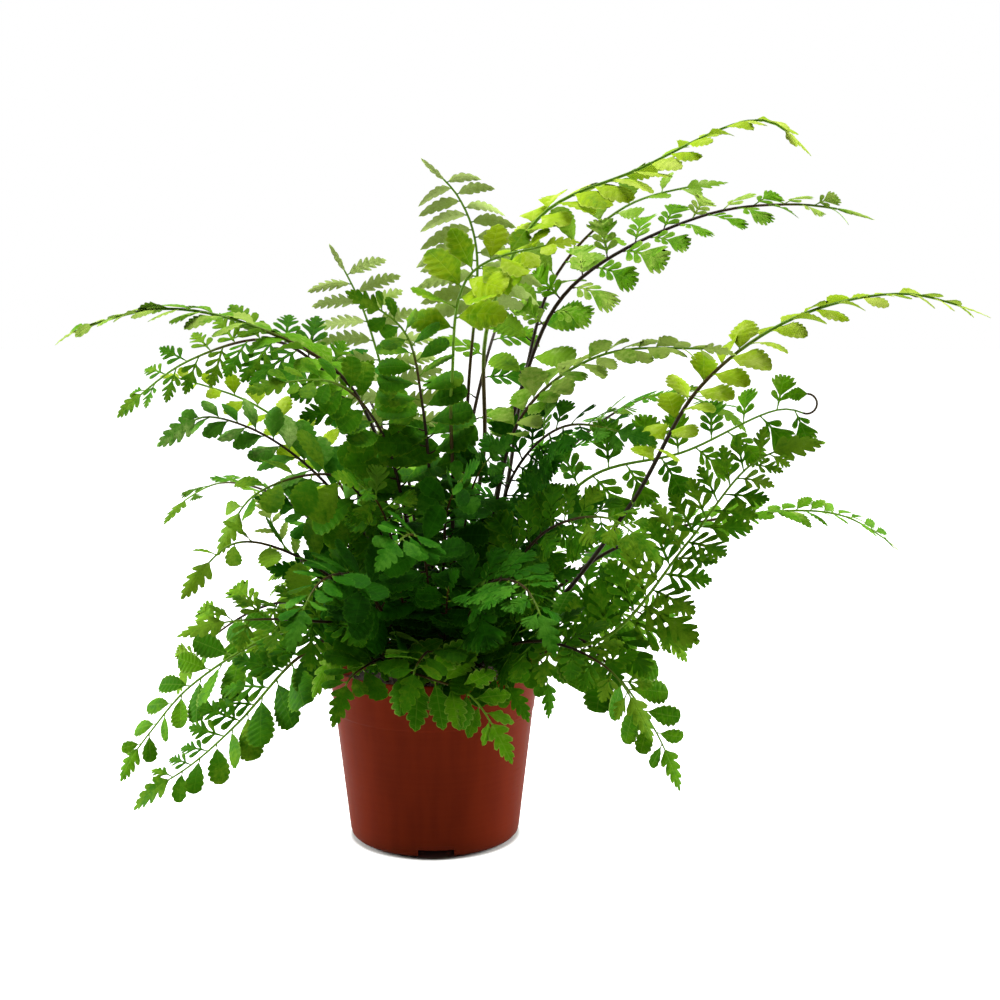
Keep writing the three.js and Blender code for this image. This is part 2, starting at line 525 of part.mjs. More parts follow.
// A leaflet's outline and its raised middle above and below, out from the stretch between two rings
function leafletShape(near, far, sideways, outline, length, halfBreadth, angle, bend, sag) {
  const along = near.along.clone().add(far.along).normalize();
  const up = near.up.clone().add(far.up).normalize();
  const side = new THREE.Vector3().crossVectors(up, along).multiplyScalar(sideways);
  const root = near.place.clone().add(far.place).multiplyScalar(0.5);
  const outward = side.clone().multiplyScalar(Math.cos(degrees(bend)));
  outward.addScaledVector(up, Math.sin(degrees(bend)));
  const axis = along.clone().multiplyScalar(Math.cos(degrees(angle)));
  axis.addScaledVector(outward, Math.sin(degrees(angle)));
  axis.setZ(axis.z * (1 - sag)).normalize();
  const normal = new THREE.Vector3().crossVectors(axis, along).normalize().multiplyScalar(-sideways);
  const at = (reach, breadth, lift) =>
    root.clone().addScaledVector(axis, reach * length).addScaledVector(along, breadth * halfBreadth)
      .addScaledVector(normal, lift - 0.12 * length * reach * reach);
  const rootBreadth = LEAFLET_ROOT / 2 / halfBreadth;
  return {
    inner: [at(0.05, -rootBreadth, 0), at(0.05, rootBreadth, 0)],
    rim: outline.map(([reach, breadth]) => at(reach, breadth, 0)),
    above: at(0.55, 0, BLADE_THICKNESS / 2 + 0.02 * length),
    below: at(0.55, 0, -BLADE_THICKNESS / 2 + 0.02 * length),
  };
}

// Faces of a leaflet on the corners near, far (ridge) and nearLow, farLow (lower edge) of the stalk
function leafletFaces(first, count, roots, left) {
  const { near, far, nearLow, farLow } = roots;
  const above = first + count;
  const below = above + 1;
  const rim = Array.from({ length: count }, (_, k) => first + k);
  const upper = [near, ...rim, far];
  const lower = [nearLow, ...rim, farLow];
  const faces = [];
  for (let k = 0; k < upper.length; k++) {
    const next = (k + 1) % upper.length;
    faces.push([above, upper[next], upper[k]], [below, lower[k], lower[next]]);
  }
  faces.push([near, rim[0], nearLow], [rim[count - 1], far, farLow]);
  return faces.flatMap(([a, b, c]) => (left ? [a, b, c] : [a, c, b]));
}

// The end leaflet carries the midrib on, straight ahead
function endShape(frame, outline, length, halfBreadth) {
  const { along, up, side, place } = frame;
  const at = (reach, breadth, lift) =>
    place.clone().addScaledVector(along, reach * length).addScaledVector(side, -breadth * halfBreadth)
      .addScaledVector(up, lift - 0.1 * length * reach * reach);
  return {
    inner: [at(0.05, -0.2, 0), at(0.05, 0.2, 0)],
    rim: outline.map(([reach, breadth]) => at(reach, breadth, 0)),
    above: at(0.5, 0, BLADE_THICKNESS / 2),
    below: at(0.5, 0, -BLADE_THICKNESS / 2),
  };
}

function endFaces(ring, first, count) {
  const [ridge, low, high] = [3 * ring, 3 * ring + 1, 3 * ring + 2];
  const above = first + count;
  const below = above + 1;
  const rim = Array.from({ length: count }, (_, k) => first + k);
  const faces = [above, rim[0], ridge, above, ridge, rim[count - 1]];
  faces.push(below, low, rim[0], below, rim[count - 1], high, below, high, low);
  faces.push(ridge, rim[0], low, ridge, high, rim[count - 1]);
  for (let k = 0; k + 1 < count; k++) faces.push(above, rim[k + 1], rim[k], below, rim[k], rim[k + 1]);
  return faces;
}

// The leaflet alone, from a little outside the stalk, to test what it would touch
function leafletTester({ inner, rim, above, below }) {
  const round = [inner[0], ...rim, inner[1]];
  const points = [...round, above, below];
  const [top, bottom] = [round.length, round.length + 1];
  const corners = [];
  for (let k = 0; k < round.length; k++) {
    const next = (k + 1) % round.length;
    corners.push(top, next, k, bottom, k, next);
  }
  return solidOf(geometryFrom(points, corners));
}

// What stands already, with its frond's name and the box round it
const standing = [];

function place(solid, owner, isStalk) {
  const { min, max } = solid.boundingBox();
  standing.push({ solid, owner, isStalk, min, max });
}

function isClear(solid, owner) {
  const { min, max } = solid.boundingBox();
  return standing.every((other) => {
    if (other.isStalk && other.owner === owner) return true;
    const space = other.owner === owner ? SPACE_IN_FROND : SPACE_BETWEEN;
    for (let axis = 0; axis < 3; axis++) {
      if (other.min[axis] > max[axis] + space || other.max[axis] < min[axis] - space) return true;
    }
    return other.solid.minGap(solid, 2 * space) >= space;
  });
}

// Leaflets grow over the first quarter of the leafy stretch and shrink from there to the tip
function leafletScale(share, taper) {
  return share < 0.25 ? lerp(0.95, 1.12, share / 0.25) : 1.12 - taper * ((share - 0.25) / 0.75) ** 1.3;
}

function clearLeaflet(shapeFor, owner) {
  for (const shorter of SHORTER) {
    for (const bend of BENDS) {
      const shape = shapeFor(shorter, bend);
      const tester = leafletTester(shape);
      if (isClear(tester, owner)) {
        place(tester, owner, false);
        return shape;
      }
    }
  }
  return null;
}

function frondGeometry(frond, list, pairs, draw) {
  const points = list.flatMap((frame) => ringCorners(frame, 0));
  const corners = [0, 1, 2];
  const pitch = (list[list.length - 1].share - frond.bare) * frond.curve.getLength() / frond.pairs;
  const taken = new Map();
  for (const { ring, place: share } of pairs) {
    for (const left of [true, false]) {
      const length = frond.length * leafletScale(share, frond.taper) * (1 + 0.08 * draw());
      const halfBreadth = 0.46 * pitch * lerp(1, 0.78, share);
      const outline = share < PLAIN_FROM ? frond.outline : SMALL;
      const angle = lerp(...frond.spread, share) + 6 * draw();
      const lift = 10 + 8 * draw();
      const shapeFor = (shorter, bend) => leafletShape(
        list[ring], list[ring + 1], left ? 1 : -1, outline, length * shorter, halfBreadth * shorter,
        angle, lift + bend, frond.sag);
      const shape = clearLeaflet(shapeFor, frond.name);
      if (!shape) continue;
      const [near, far] = [3 * ring, 3 * ring + 3];
      const low = left ? 1 : 2;
      const first = points.length;
      points.push(...shape.rim, shape.above, shape.below);
      const roots = { near, far, nearLow: near + low, farLow: far + low };
      corners.push(...leafletFaces(first, shape.rim.length, roots, left));
      taken.set(`${ring} ${left}`, true);
    }
  }
  for (let i = 0; i + 1 < list.length; i++) {
    corners.push(...stalkFaces(i, !taken.has(`${i} true`), !taken.has(`${i} false`)));
  }
  corners.push(...frondEnd(frond, list, points));
  return geometryFrom(points, corners);
}

function frondEnd(frond, list, points) {
  const last = list.length - 1;
  const size = END_LEAFLET * frond.length;
  const shapeFor = (shorter) => endShape(list[last], FROND_TIP, size * shorter, 0.22 * size * shorter);
  const shape = clearLeaflet(shapeFor, frond.name);
  if (!shape) return [3 * last, 3 * last + 2, 3 * last + 1];
  const first = points.length;
  points.push(...shape.rim, shape.above, shape.below);
  return endFaces(last, first, shape.rim.length);
}

// The whole plant

const POT_PLASTIC = new THREE.MeshStandardMaterial({ color: 0x8f3a26, roughness: 0.45, metalness: 0 });
const PEAT = new THREE.MeshStandardMaterial({ color: 0x2b1d14, roughness: 0.95, metalness: 0 });
const ROOTSTOCK = new THREE.MeshStandardMaterial({ color: 0x3a2a1a, roughness: 0.9, metalness: 0 });

function namedMesh(name, geometry, material) {
  const mesh = new THREE.Mesh(geometry, material.clone());
  mesh.name = name;
  return mesh;
}

function leafMaterial(green) {
  return new THREE.MeshStandardMaterial({ color: green, roughness: 0.5, metalness: 0 });
}

function pottedFern() {
  const plant = new THREE.Group();
  const pot = potSolid();
  const soil = soilSolid();
  const grown = Object.entries(FRONDS).map(([name, frond]) => {
    const curve = stalkCurve(frond);
    const { shares, pairs } = stations(frond, curve);
    return { frond: { ...PLAIN, ...frond, name, curve }, list: frames(frond, curve, shares), pairs };
  });
  const holes = grown.map(({ list }) => stalkSolid(list.slice(0, 3), GAP));
  const crown = crownSolid(holes);
  plant.add(namedMesh("pot", geometryOf(pot), POT_PLASTIC));
  plant.add(namedMesh("soil", geometryOf(soil), PEAT));
  plant.add(namedMesh("crown", geometryOf(crown), ROOTSTOCK));
  for (const solid of [pot, soil, crown]) place(solid, "pot", false);
  for (const { frond, list } of grown) place(stalkSolid(list, 0), frond.name, true);
  const draw = seededDraw(SEED);
  for (const { frond, list, pairs } of grown) {
    const geometry = frondGeometry(frond, list, pairs, draw);
    geometry.computeVertexNormals();
    plant.add(namedMesh(`frond_${frond.name}`, geometry, leafMaterial(frond.green)));
  }
  return plant;
}

export default pottedFern();
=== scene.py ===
# A fern in a thin plastic nursery pot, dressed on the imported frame.
# Values are in millimetres and meshes in metres; +Z is up and the front looks towards -Y.
import math
import random

import bmesh
import bpy
import numpy as np
from mathutils import Matrix, Vector, noise


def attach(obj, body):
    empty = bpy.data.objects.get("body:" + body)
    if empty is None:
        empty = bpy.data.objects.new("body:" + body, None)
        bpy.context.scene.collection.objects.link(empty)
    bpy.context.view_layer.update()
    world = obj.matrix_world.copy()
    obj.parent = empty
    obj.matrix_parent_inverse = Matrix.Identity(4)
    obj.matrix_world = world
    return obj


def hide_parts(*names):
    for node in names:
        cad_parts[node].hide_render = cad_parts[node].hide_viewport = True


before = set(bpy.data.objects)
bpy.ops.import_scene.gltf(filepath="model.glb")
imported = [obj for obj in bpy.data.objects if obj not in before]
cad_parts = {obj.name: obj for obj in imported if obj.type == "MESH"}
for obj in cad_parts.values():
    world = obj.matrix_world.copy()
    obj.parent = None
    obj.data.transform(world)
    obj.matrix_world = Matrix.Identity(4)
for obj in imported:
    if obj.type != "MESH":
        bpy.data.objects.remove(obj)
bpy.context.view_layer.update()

MM = 0.001
SEED = 20240611

# Pot, with the same values as its solid; a rise and the rings of points are heights
POT_HEIGHT = 100
RIM_RADIUS = 60
BASE_RADIUS = 48.3
WALL = 1.2
FLOOR = 1.5
FOOT_ROUNDING = 5
LEDGE_HEIGHT = 75
LEDGE_STEP = 0.4
LEDGE_RISE = 1.4
LIP_ROUNDING = 0.45
LIP_INSET = 0.05
POT_SIDES = 192
OUTSIDE_RINGS = (20, 40, 60, 72, 73.6, 73.9, 74.2, 74.5, 74.8, 75, 88)
INSIDE_RINGS = (20, 40, 60, 72, 73.6, 74.2, 74.8, 88, 99.4)
CHANNELS = 4
CHANNEL_WIDTH = 20
CHANNEL_HEIGHT = 5
CHANNEL_START = 31
CHANNEL_TURN = -87
DRAIN_RADIUS = 4
DRAIN_PLACE = 37
DRAIN_SIDES = 32

# Soil and crown
SOIL_EDGE = 86
SOIL_MIDDLE = 90
SOIL_RADIUS = 56
SOIL_SLOPE_RADIUS = 45
SOIL_FLAT_RADIUS = 30
CROWN_RADIUS = 35
CROWN_SHOULDER = 91
CROWN_TOP = 97
CRUMBS = 900
SCALES = 700
SCALES_ON_A_STALK = 12

# Stalks
FOOT_DEPTH = 84
FOOT_LEAN = 1.12
FOOT_CLEAR = 99
STALK_RADIUS = 1.3
TIP_RADIUS = 0.48
STALK_RINGS = 56
STALK_HOLLOW = 0.22
STALK_THINNING = 1.4
STOUT_LENGTH = 380
STOUT_FROM = 0.6
STOUT_GAIN = 0.52
STOUTEST = 1.15
STEM_RADIUS = 0.5
STEM_THINNING = 0.16
END_BEYOND_STALK = 0.75
CURL_RADIUS = 5.5
CURL_THICKNESS = 0.6
CURL_RINGS = 12

# Points in each ring of a stalk, a stem or a blade
SIDES = 8

# Blades: their inner points lie at this share of the half breadth, and ripple is a share of the length
BLADE_THICKNESS = 0.36
BLADE_THINNING = 0.4
BLADE_INNER = 0.55
RIPPLE = 0.01
LEAFLET_SCALE = 1.08

# What varies at random from leaflet to leaflet: degrees either way, then ranges
ANGLE_VARIES = 8
LIFT_VARIES = 16
ROLL_VARIES = 22
TWIST_VARIES = 26
LEVELLING = (0.6, 1.35)
LENGTHS = (0.88, 1.08)
HANG = (0.02, 0.1)
ARCH = (0.03, 0.24)
CUP = (-0.3, 0.2)

# How light a leaflet is, where 0 is the shade of its green, 0.5 its body colour and 1 its light one: at the
# first leaflet, how much more at the tip, how much at the end leaflet, and by how much it varies. The leaves
# in the heart of the plant are made darker: painted shade, where the foliage round them shades them.
LIGHT_FIRST = 0.45
LIGHT_GAIN = 0.25
LIGHT_END = 0.75
LIGHT_VARIES = 0.25
HEART_DARKER = 0.5
HEART_MIDDLE = (5, -20, 125)
HEART_RADIUS = 75
HEART_HEIGHT = 85

# Studio, in metres, degrees and watts
FOCAL_LENGTH = 57.96
CAMERA_PLACE = (0.0375, -0.9, 0.308)
CAMERA_LOOKS_DOWN = 7.3
FLOOR_REACH = 8
FLOOR_DROP = 0.0004
SOFTBOXES = {
    "top": ((-0.2, 0.3, 2.0), 1.0, 43),
    "left": ((-1.5, 0.35, 0.6), 0.9, 38),
    "right": ((1.5, 0.35, 0.6), 0.9, 36),
}

# How the leaflets of a frond stand where its own lines don't say otherwise: how many times as many pairs
# there are as on its solid, how far they turn about their own middle until they lie level, how many degrees
# they are raised out of the frond's plane, the share of their rise that gravity takes, their angle to the
# midrib at the first and the last leaflet, how much smaller the last ones are, the end leaflet's size as a
# share of a leaflet's, its kind, the kind of the leaflets left of the midrib if it's another one, how much
# paler than their green they are, how much further up than usual the stalk is brown, and how many degrees
# its end is bent back over itself.
PLAIN_STYLE = dict(crowding=1.5, level=0.4, lift=10, sag=0, spread=(74, 54), taper=0.65, end=0.9,
    end_kind="lobed_end", left_kind=None, paler=0, browned=0, curl=0)

# The same for the fronds in the heart of the plant, by how their names begin
HEART = ("front_", "inner_", "short_", "side_")
HEART_STYLE = dict(crowding=2.2, level=0.6)
PLANS = {}


def frond(name, kind, green, foot, bare, pairs, length, route, first_face, last_face, **style):
    """A frond by its leaflets' kind and green, its foot's radius and bearing on the crown, the bare share of
    its stalk, its solid's pairs of leaflets and their length, the points that its stalk passes, and where
    its upper side looks at the first leaflet and at the tip."""
    usual = HEART_STYLE if name.startswith(HEART) else {}
    PLANS[name] = dict({**PLAIN_STYLE, **usual, **style}, kind=kind, green=green, foot=foot, bare=bare,
        pairs=pairs, length=length, route=route, faces=(first_face, last_face))


frond("crest", "wavy", "lime", (7, -60), 0.52, 8, 24,
    [(28, -15, 216), (31, -20, 292), (59, -28, 349), (110, -35, 373), (173, -42, 398), (198, -45, 384)],
    (-0.6, -0.4, 1), (0, -0.25, 1), crowding=2.2, level=0.55, lift=6, sag=0.3, spread=(60, 30), end=0.7,
    browned=-0.1)
frond("upper_right", "fan", "fresh", (7, 0), 0.5, 8, 26,
    [(30, 5, 170), (48, 10, 250), (76, 15, 310), (150, 20, 351), (203, 22, 358), (245, 25, 353)],
    (-0.6, -0.9, 0.5), (0, -0.7, 0.7), crowding=1.35, level=0.2, lift=24, sag=0.3, spread=(62, 42),
    end_kind="tail_end", paler=0.05, browned=0.25)
frond("behind_crest", "oval", "mid", (14, 15), 0.5, 6, 28,
    [(40, 25, 190), (52, 42, 260), (70, 50, 318), (110, 55, 358), (165, 58, 374)],
    (-0.6, -0.8, 0.6), (0, -0.6, 0.8), crowding=1.3, lift=20, paler=0.4)
frond("long_right", "wavy", "lime", (14, -15), 0.45, 8, 22,
    [(60, -15, 128), (109, -28, 194), (146, -32, 259), (194, -36, 295), (250, -40, 308), (294, -42, 298)],
    (-0.5, -0.5, 0.8), (0, -0.4, 1), crowding=2, level=0.75, lift=16, sag=0.35, spread=(54, 28), end=0.8,
    end_kind="tail_end", browned=0.1)
frond("pale_right", "wavy", "fresh", (14, -45), 0.52, 5, 20,
    [(32, -35, 180), (50, -45, 245), (90, -56, 276), (156, -63, 280)],
    (-0.3, -0.5, 1), (0, -0.6, 0.9), crowding=2.8, level=0.6, lift=18, sag=0.3, spread=(60, 40), paler=0.45)
frond("curled_right", "fan", "fresh", (21, -6), 0.4, 7, 26,
    [(48, -8, 160), (88, -10, 207), (139, -12, 221), (193, -15, 245), (212, -15, 240)],
    (-0.2, -1, 0.6), (0, -1, 0.5), crowding=1.2, level=0, lift=16, spread=(80, 66), taper=0.45, end=0.42,
    end_kind="wavy", paler=-0.35, browned=-0.25, curl=200)
frond("dissected_right", "cut", "mid", (21, -30), 0.3, 7, 31,
    [(60, -32, 112), (97, -45, 125), (138, -55, 178), (171, -58, 220), (201, -60, 232)],
    (-0.5, -1, 0.4), (-0.3, -1, 0.5), crowding=2.1, level=0.05, lift=20, paler=0.2, browned=-0.5)
frond("fine_right", "toothed", "fresh", (21, 14), 0.4, 7, 18,
    [(60, 18, 130), (105, 22, 162), (184, 28, 181), (236, 30, 180), (272, 32, 160)],
    (0, -0.3, 1), (0.2, -0.3, 1), crowding=2.8, level=0.1, lift=20, sag=0.1, spread=(64, 50), taper=0.4,
    end_kind="tail_end", paler=-0.2)
frond("drooping_right", "oval", "fresh", (28, -22), 0.36, 6, 26,
    [(52, -30, 122), (74, -36, 125), (94, -41, 110), (120, -50, 76), (134, -54, 47)],
    (0.4, -1, 0.6), (0.5, -1, 0.2), crowding=1.15, level=0, spread=(70, 50), paler=-0.45)
frond("over_front_rim", "toothed", "fresh", (28, -106), 0.34, 6, 25,
    [(-17, -50, 112), (-19, -64, 112), (0, -74, 108), (22, -80, 100), (42, -88, 72)],
    (0.1, -1, 0.7), (0.3, -1, 0.4), crowding=1.3, level=0, paler=-0.1)
frond("over_right_rim", "oval", "mid", (28, -40), 0.3, 3, 21,
    [(42, -32, 114), (58, -40, 112), (66, -46, 84)],
    (0.4, -0.8, 1), (0.5, -1, 0), crowding=1.4, level=0)
frond("over_left_rim", "toothed", "fresh", (28, -128), 0.3, 3, 28,
    [(-27, -41, 114), (-42, -58, 124), (-51, -68, 116), (-52, -72, 102)],
    (-0.4, -0.8, 1), (-0.3, -1, 0.2), crowding=1.3, level=0)
frond("lower_left", "cut", "mid", (28, -152), 0.3, 7, 28,
    [(-50, -35, 122), (-72, -44, 112), (-104, -52, 78), (-130, -55, 55), (-158, -58, 38)],
    (-0.4, -1, 0.8), (-0.4, -1, 0.6), crowding=1.4, level=0, left_kind="oval", browned=-0.35)
frond("oval_left", "oval", "fresh", (28, -174), 0.35, 7, 24,
    [(-58, -8, 122), (-90, -15, 118), (-136, -20, 90), (-158, -22, 65), (-175, -24, 42)],
    (-0.3, -1, 0.8), (-0.6, -1, 0.4), crowding=1.15, level=0, spread=(62, 48), paler=-0.4, browned=-0.35)
frond("forked_left", "cut", "mid", (21, -146), 0.35, 5, 28,
    [(-33, -33, 124), (-64, -66, 137), (-95, -84, 141), (-122, -92, 138)],
    (-0.3, -0.8, 1), (-0.4, -1, 0.8), crowding=1, level=0.2, paler=0.2)
frond("slender_left", "comb", "fresh", (21, 172), 0.4, 5, 21,
    [(-42, 12, 128), (-66, 20, 147), (-88, 24, 163), (-101, 26, 192)],
    (0.5, -1, 0.5), (0.5, -1, 0.3), crowding=1.2, level=0.3, sag=0.3, spread=(60, 46), paler=0.5)
frond("broad_left", "oval", "mid", (14, -140), 0.48, 5, 27,
    [(-24, -34, 170), (-48, -54, 212), (-89, -70, 205), (-107, -76, 180)],
    (-0.2, -0.8, 1), (-0.8, -0.8, 0.2), crowding=1.2, paler=0.25)
frond("dark_left", "wavy", "dark", (14, -165), 0.42, 6, 23,
    [(-36, -14, 172), (-67, -20, 213), (-100, -25, 236), (-126, -28, 241), (-140, -30, 226)],
    (0.3, -1, 0.7), (-0.3, -1, 0.6), crowding=1.8, level=0.65, spread=(62, 44), end=1.1, paler=0.5)
frond("lime_left", "wavy", "lime", (14, 162), 0.42, 6, 18,
    [(-38, 18, 168), (-68, 30, 215), (-105, 35, 244), (-158, 40, 262)],
    (0.4, -1, 0.7), (0.2, -0.8, 0.8), lift=20, end=0.7, paler=-0.1)
frond("long_left", "wavy", "fresh", (7, -120), 0.5, 8, 21,
    [(-20, -16, 195), (-46, -25, 261), (-95, -35, 291), (-143, -38, 300), (-197, -40, 286)],
    (0.3, -0.6, 1), (-0.1, -0.5, 1), crowding=1.7, level=0.8, lift=18, sag=0.4, spread=(44, 26), end=0.8,
    end_kind="tail_end", paler=0.15)
frond("dissected_left", "cut", "mid", (7, 180), 0.5, 7, 28,
    [(-32, 8, 205), (-60, 12, 262), (-92, 15, 282), (-140, 18, 270), (-179, 20, 242)],
    (0.2, -0.8, 0.8), (-0.5, -0.9, 0.5), level=0.1, end=0.7, paler=0.05)
frond("feathery_left", "feather", "fresh", (7, 120), 0.54, 7, 32,
    [(-16, 26, 205), (-33, 42, 270), (-44, 46, 303), (-60, 50, 334)],
    (0.2, -1, 0.1), (0.2, -1, 0.3), crowding=1.35, level=0, sag=0.45, spread=(66, 60), taper=0.35, end=0.6,
    end_kind="tail_end", paler=1)
frond("top_comb", "comb", "fresh", (7, 60), 0.7, 6, 31,
    [(14, 10, 180), (20, 12, 260), (24, 14, 335), (14, 16, 362), (-4, 18, 381)],
    (0, -1, 0), (0.2, -1, 0.2), level=0.1, sag=0.7, spread=(80, 70), taper=0.55, end=0.6, end_kind="tail_end",
    paler=1)
frond("pale_centre", "wavy", "lime", (14, -72), 0.7, 4, 26,
    [(12, -32, 190), (12, -46, 262), (22, -52, 318), (74, -58, 336)],
    (-0.5, -1, 0.4), (0, -0.8, 0.8), crowding=1.7, level=0.6, lift=16, end=0.7, paler=-0.25)
frond("front_middle", "oval", "dark", (21, -97), 0.28, 6, 25,
    [(-1, -48, 140), (-3, -78, 180), (-10, -106, 188), (-20, -128, 178)],
    (0, -0.8, 1), (0, -1, 0.4))
frond("front_right", "fan", "dark", (21, -74), 0.27, 6, 25,
    [(18, -50, 130), (32, -82, 160), (50, -118, 164), (62, -148, 144)],
    (0.1, -0.8, 1), (0.3, -1, 0.4))
frond("front_left", "oval", "dark", (21, -120), 0.27, 6, 25,
    [(-22, -50, 132), (-38, -84, 164), (-52, -116, 166), (-62, -146, 146)],
    (-0.1, -0.8, 1), (-0.3, -1, 0.4))
frond("side_right", "fan", "mid", (21, -52), 0.31, 6, 25,
    [(34, -42, 142), (62, -72, 186), (92, -98, 196), (114, -118, 182)],
    (0, -0.8, 1), (0.3, -1, 0.5), level=0.4)
frond("side_left", "oval", "mid", (21, -168), 0.31, 6, 25,
    [(-42, -26, 140), (-72, -62, 172), (-98, -92, 182), (-118, -112, 164)],
    (0, -0.8, 1), (-0.3, -1, 0.5), crowding=0.8, paler=0.25)
frond("low_front_right", "cut", "mid", (28, -58), 0.27, 5, 27,
    [(36, -50, 118), (64, -78, 128), (94, -102, 118), (112, -116, 92)],
    (0, -0.7, 1), (0.4, -1, 0.4), crowding=1.7, level=0, paler=0.15)
frond("low_front_left", "oval", "mid", (28, -117), 0.27, 4, 25,
    [(-22, -48, 113), (-32, -75, 115), (-41, -95, 110), (-43, -103, 94)],
    (0, -0.7, 1), (-0.2, -1, 0.4), crowding=1.4, level=0)
frond("broad_centre", "oval", "mid", (14, -112), 0.41, 7, 24,
    [(-12, -30, 175), (-26, -46, 236), (-48, -64, 262), (-86, -86, 262)],
    (0.2, -1, 0.8), (-0.2, -1, 0.8), crowding=2, level=0.6)
frond("centre_right", "fan", "dark", (21, -18), 0.36, 6, 25,
    [(34, -24, 170), (46, -40, 214), (72, -66, 240), (112, -90, 236)],
    (0.1, -0.9, 0.9), (0.2, -1, 0.7), crowding=2.2, level=0.55)
frond("centre_up", "oval", "mid", (14, -92), 0.43, 7, 24,
    [(0, -28, 190), (-4, -42, 250), (-12, -58, 288), (-36, -76, 308)],
    (0, -1, 0.5), (0, -1, 0.7), crowding=2, level=0.6)
frond("back_tall", "fan", "mid", (14, 78), 0.42, 4, 29,
    [(14, 36, 195), (32, 84, 278), (46, 130, 308), (58, 182, 300)],
    (0.2, -0.2, 1), (0.2, 0.6, 1), lift=2, end=0.7)
frond("back_left", "oval", "dark", (14, 114), 0.44, 4, 28,
    [(-18, 40, 180), (-44, 88, 246), (-74, 132, 268), (-100, 172, 254)],
    (-0.2, 0.1, 1), (-0.4, 0.7, 1))
frond("back_right", "cut", "mid", (14, 45), 0.42, 5, 30,
    [(42, 38, 165), (88, 78, 222), (142, 112, 246), (194, 140, 228)],
    (0, 0.2, 1), (0.4, 0.6, 1))
frond("back_wide_left", "fan", "mid", (21, 144), 0.4, 4, 27,
    [(-48, 38, 146), (-92, 74, 182), (-138, 106, 190), (-178, 130, 168)],
    (-0.2, 0.2, 1), (-0.6, 0.5, 1), crowding=1.1)
frond("back_middle", "oval", "fresh", (21, 96), 0.4, 4, 28,
    [(-2, 52, 150), (-4, 104, 192), (-8, 156, 188), (-12, 196, 158)],
    (0, 0.3, 1), (0, 1, 0.6), lift=2, end=0.6)
frond("back_low_right", "oval", "mid", (28, 50), 0.36, 4, 28,
    [(38, 46, 124), (78, 92, 146), (108, 138, 136), (126, 168, 106)],
    (0.2, 0.2, 1), (0.6, 0.7, 0.6))
frond("back_low_left", "cut", "mid", (28, 126), 0.36, 4, 28,
    [(-34, 48, 122), (-66, 94, 140), (-94, 138, 128), (-110, 166, 98)],
    (-0.2, 0.2, 1), (-0.6, 0.7, 0.6))
frond("back_over_rim", "toothed", "fresh", (28, 82), 0.32, 4, 27,
    [(7, 52, 116), (14, 82, 116), (24, 108, 92), (30, 124, 60)],
    (0, 0.5, 1), (0.1, 1, 0.4))
frond("low_right", "cut", "mid", (28, 16), 0.34, 4, 27,
    [(56, 16, 120), (92, 26, 130), (128, 38, 116), (148, 44, 94)],
    (0.2, -0.7, 1), (0.5, -1, 0.5), crowding=1.7, level=0.1, paler=0.1)
frond("low_left", "fan", "mid", (28, 160), 0.34, 4, 27,
    [(-54, 22, 120), (-90, 32, 128), (-130, 42, 108), (-158, 48, 74)],
    (-0.1, -0.6, 1), (-0.4, -0.9, 0.6), crowding=1, level=0.1, paler=0.2)
frond("inner_left", "oval", "dark", (14, -180), 0.28, 5, 25,
    [(-31, -3, 138), (-54, -20, 178), (-88, -40, 200)],
    (0.2, -1, 0.8), (-0.2, -1, 0.8))
frond("inner_right", "fan", "dark", (14, -30), 0.28, 5, 25,
    [(32, -20, 140), (52, -34, 180), (88, -52, 200)],
    (-0.2, -1, 0.8), (0.2, -1, 0.8), level=0.5, paler=0.05)
frond("inner_middle", "oval", "dark", (7, -90), 0.3, 5, 25,
    [(6, -32, 150), (10, -52, 196), (24, -84, 222)],
    (0, -1, 0.6), (0.2, -1, 0.8))
frond("inner_front_left", "fan", "mid", (14, -126), 0.3, 5, 25,
    [(-16, -30, 148), (-26, -54, 196), (-42, -88, 218)],
    (0, -1, 0.6), (-0.2, -1, 0.8))
frond("low_front_middle", "oval", "mid", (21, -86), 0.28, 4, 25,
    [(2, -45, 114), (-1, -70, 121), (-6, -94, 117), (-9, -106, 102)],
    (0, -0.8, 1), (0, -1, 0.5))
frond("over_middle_rim", "oval", "mid", (28, -80), 0.36, 4, 23,
    [(10, -46, 111), (24, -62, 113), (41, -74, 104), (48, -80, 90)],
    (0, -0.8, 1), (0, -1, 0.2), crowding=1.4, level=0)
frond("short_middle", "oval", "dark", (24.5, -80), 0.3, 4, 24,
    [(8, -46, 128), (10, -62, 152), (14, -80, 163)],
    (0, -1, 0.5), (0, -1, 0.7))
frond("short_front_left", "fan", "dark", (24.5, -110), 0.3, 4, 24,
    [(-13, -44, 130), (-16, -60, 154), (-20, -80, 166)],
    (0, -1, 0.5), (-0.1, -1, 0.7))
frond("short_left", "oval", "dark", (24.5, -135), 0.3, 4, 24,
    [(-30, -38, 134), (-40, -54, 158), (-52, -72, 168)],
    (-0.2, -1, 0.5), (-0.2, -1, 0.7))
frond("short_front_right", "oval", "dark", (24.5, -63), 0.3, 4, 24,
    [(22, -42, 128), (30, -58, 150), (41, -76, 162)],
    (0.1, -1, 0.5), (0.1, -1, 0.7))
frond("short_right", "fan", "dark", (24.5, -35), 0.3, 4, 24,
    [(40, -32, 132), (56, -46, 154), (74, -62, 162)],
    (0, -1, 0.5), (0.2, -1, 0.7), level=0.5, paler=0.05)
frond("short_side_left", "oval", "dark", (24.5, -171), 0.3, 4, 24,
    [(-46, -14, 132), (-64, -26, 154), (-84, -40, 160)],
    (0, -1, 0.5), (-0.2, -1, 0.7))
frond("inner_upright", "fan", "dark", (10.5, -50), 0.4, 4, 24,
    [(16, -24, 165), (24, -38, 208), (40, -58, 232)],
    (0, -1, 0.4), (0.2, -1, 0.8))

# The share of a frond's stalk up to which it is brown
BROWNED = {"lime": 0.5, "fresh": 0.62, "mid": 0.75, "dark": 0.8}

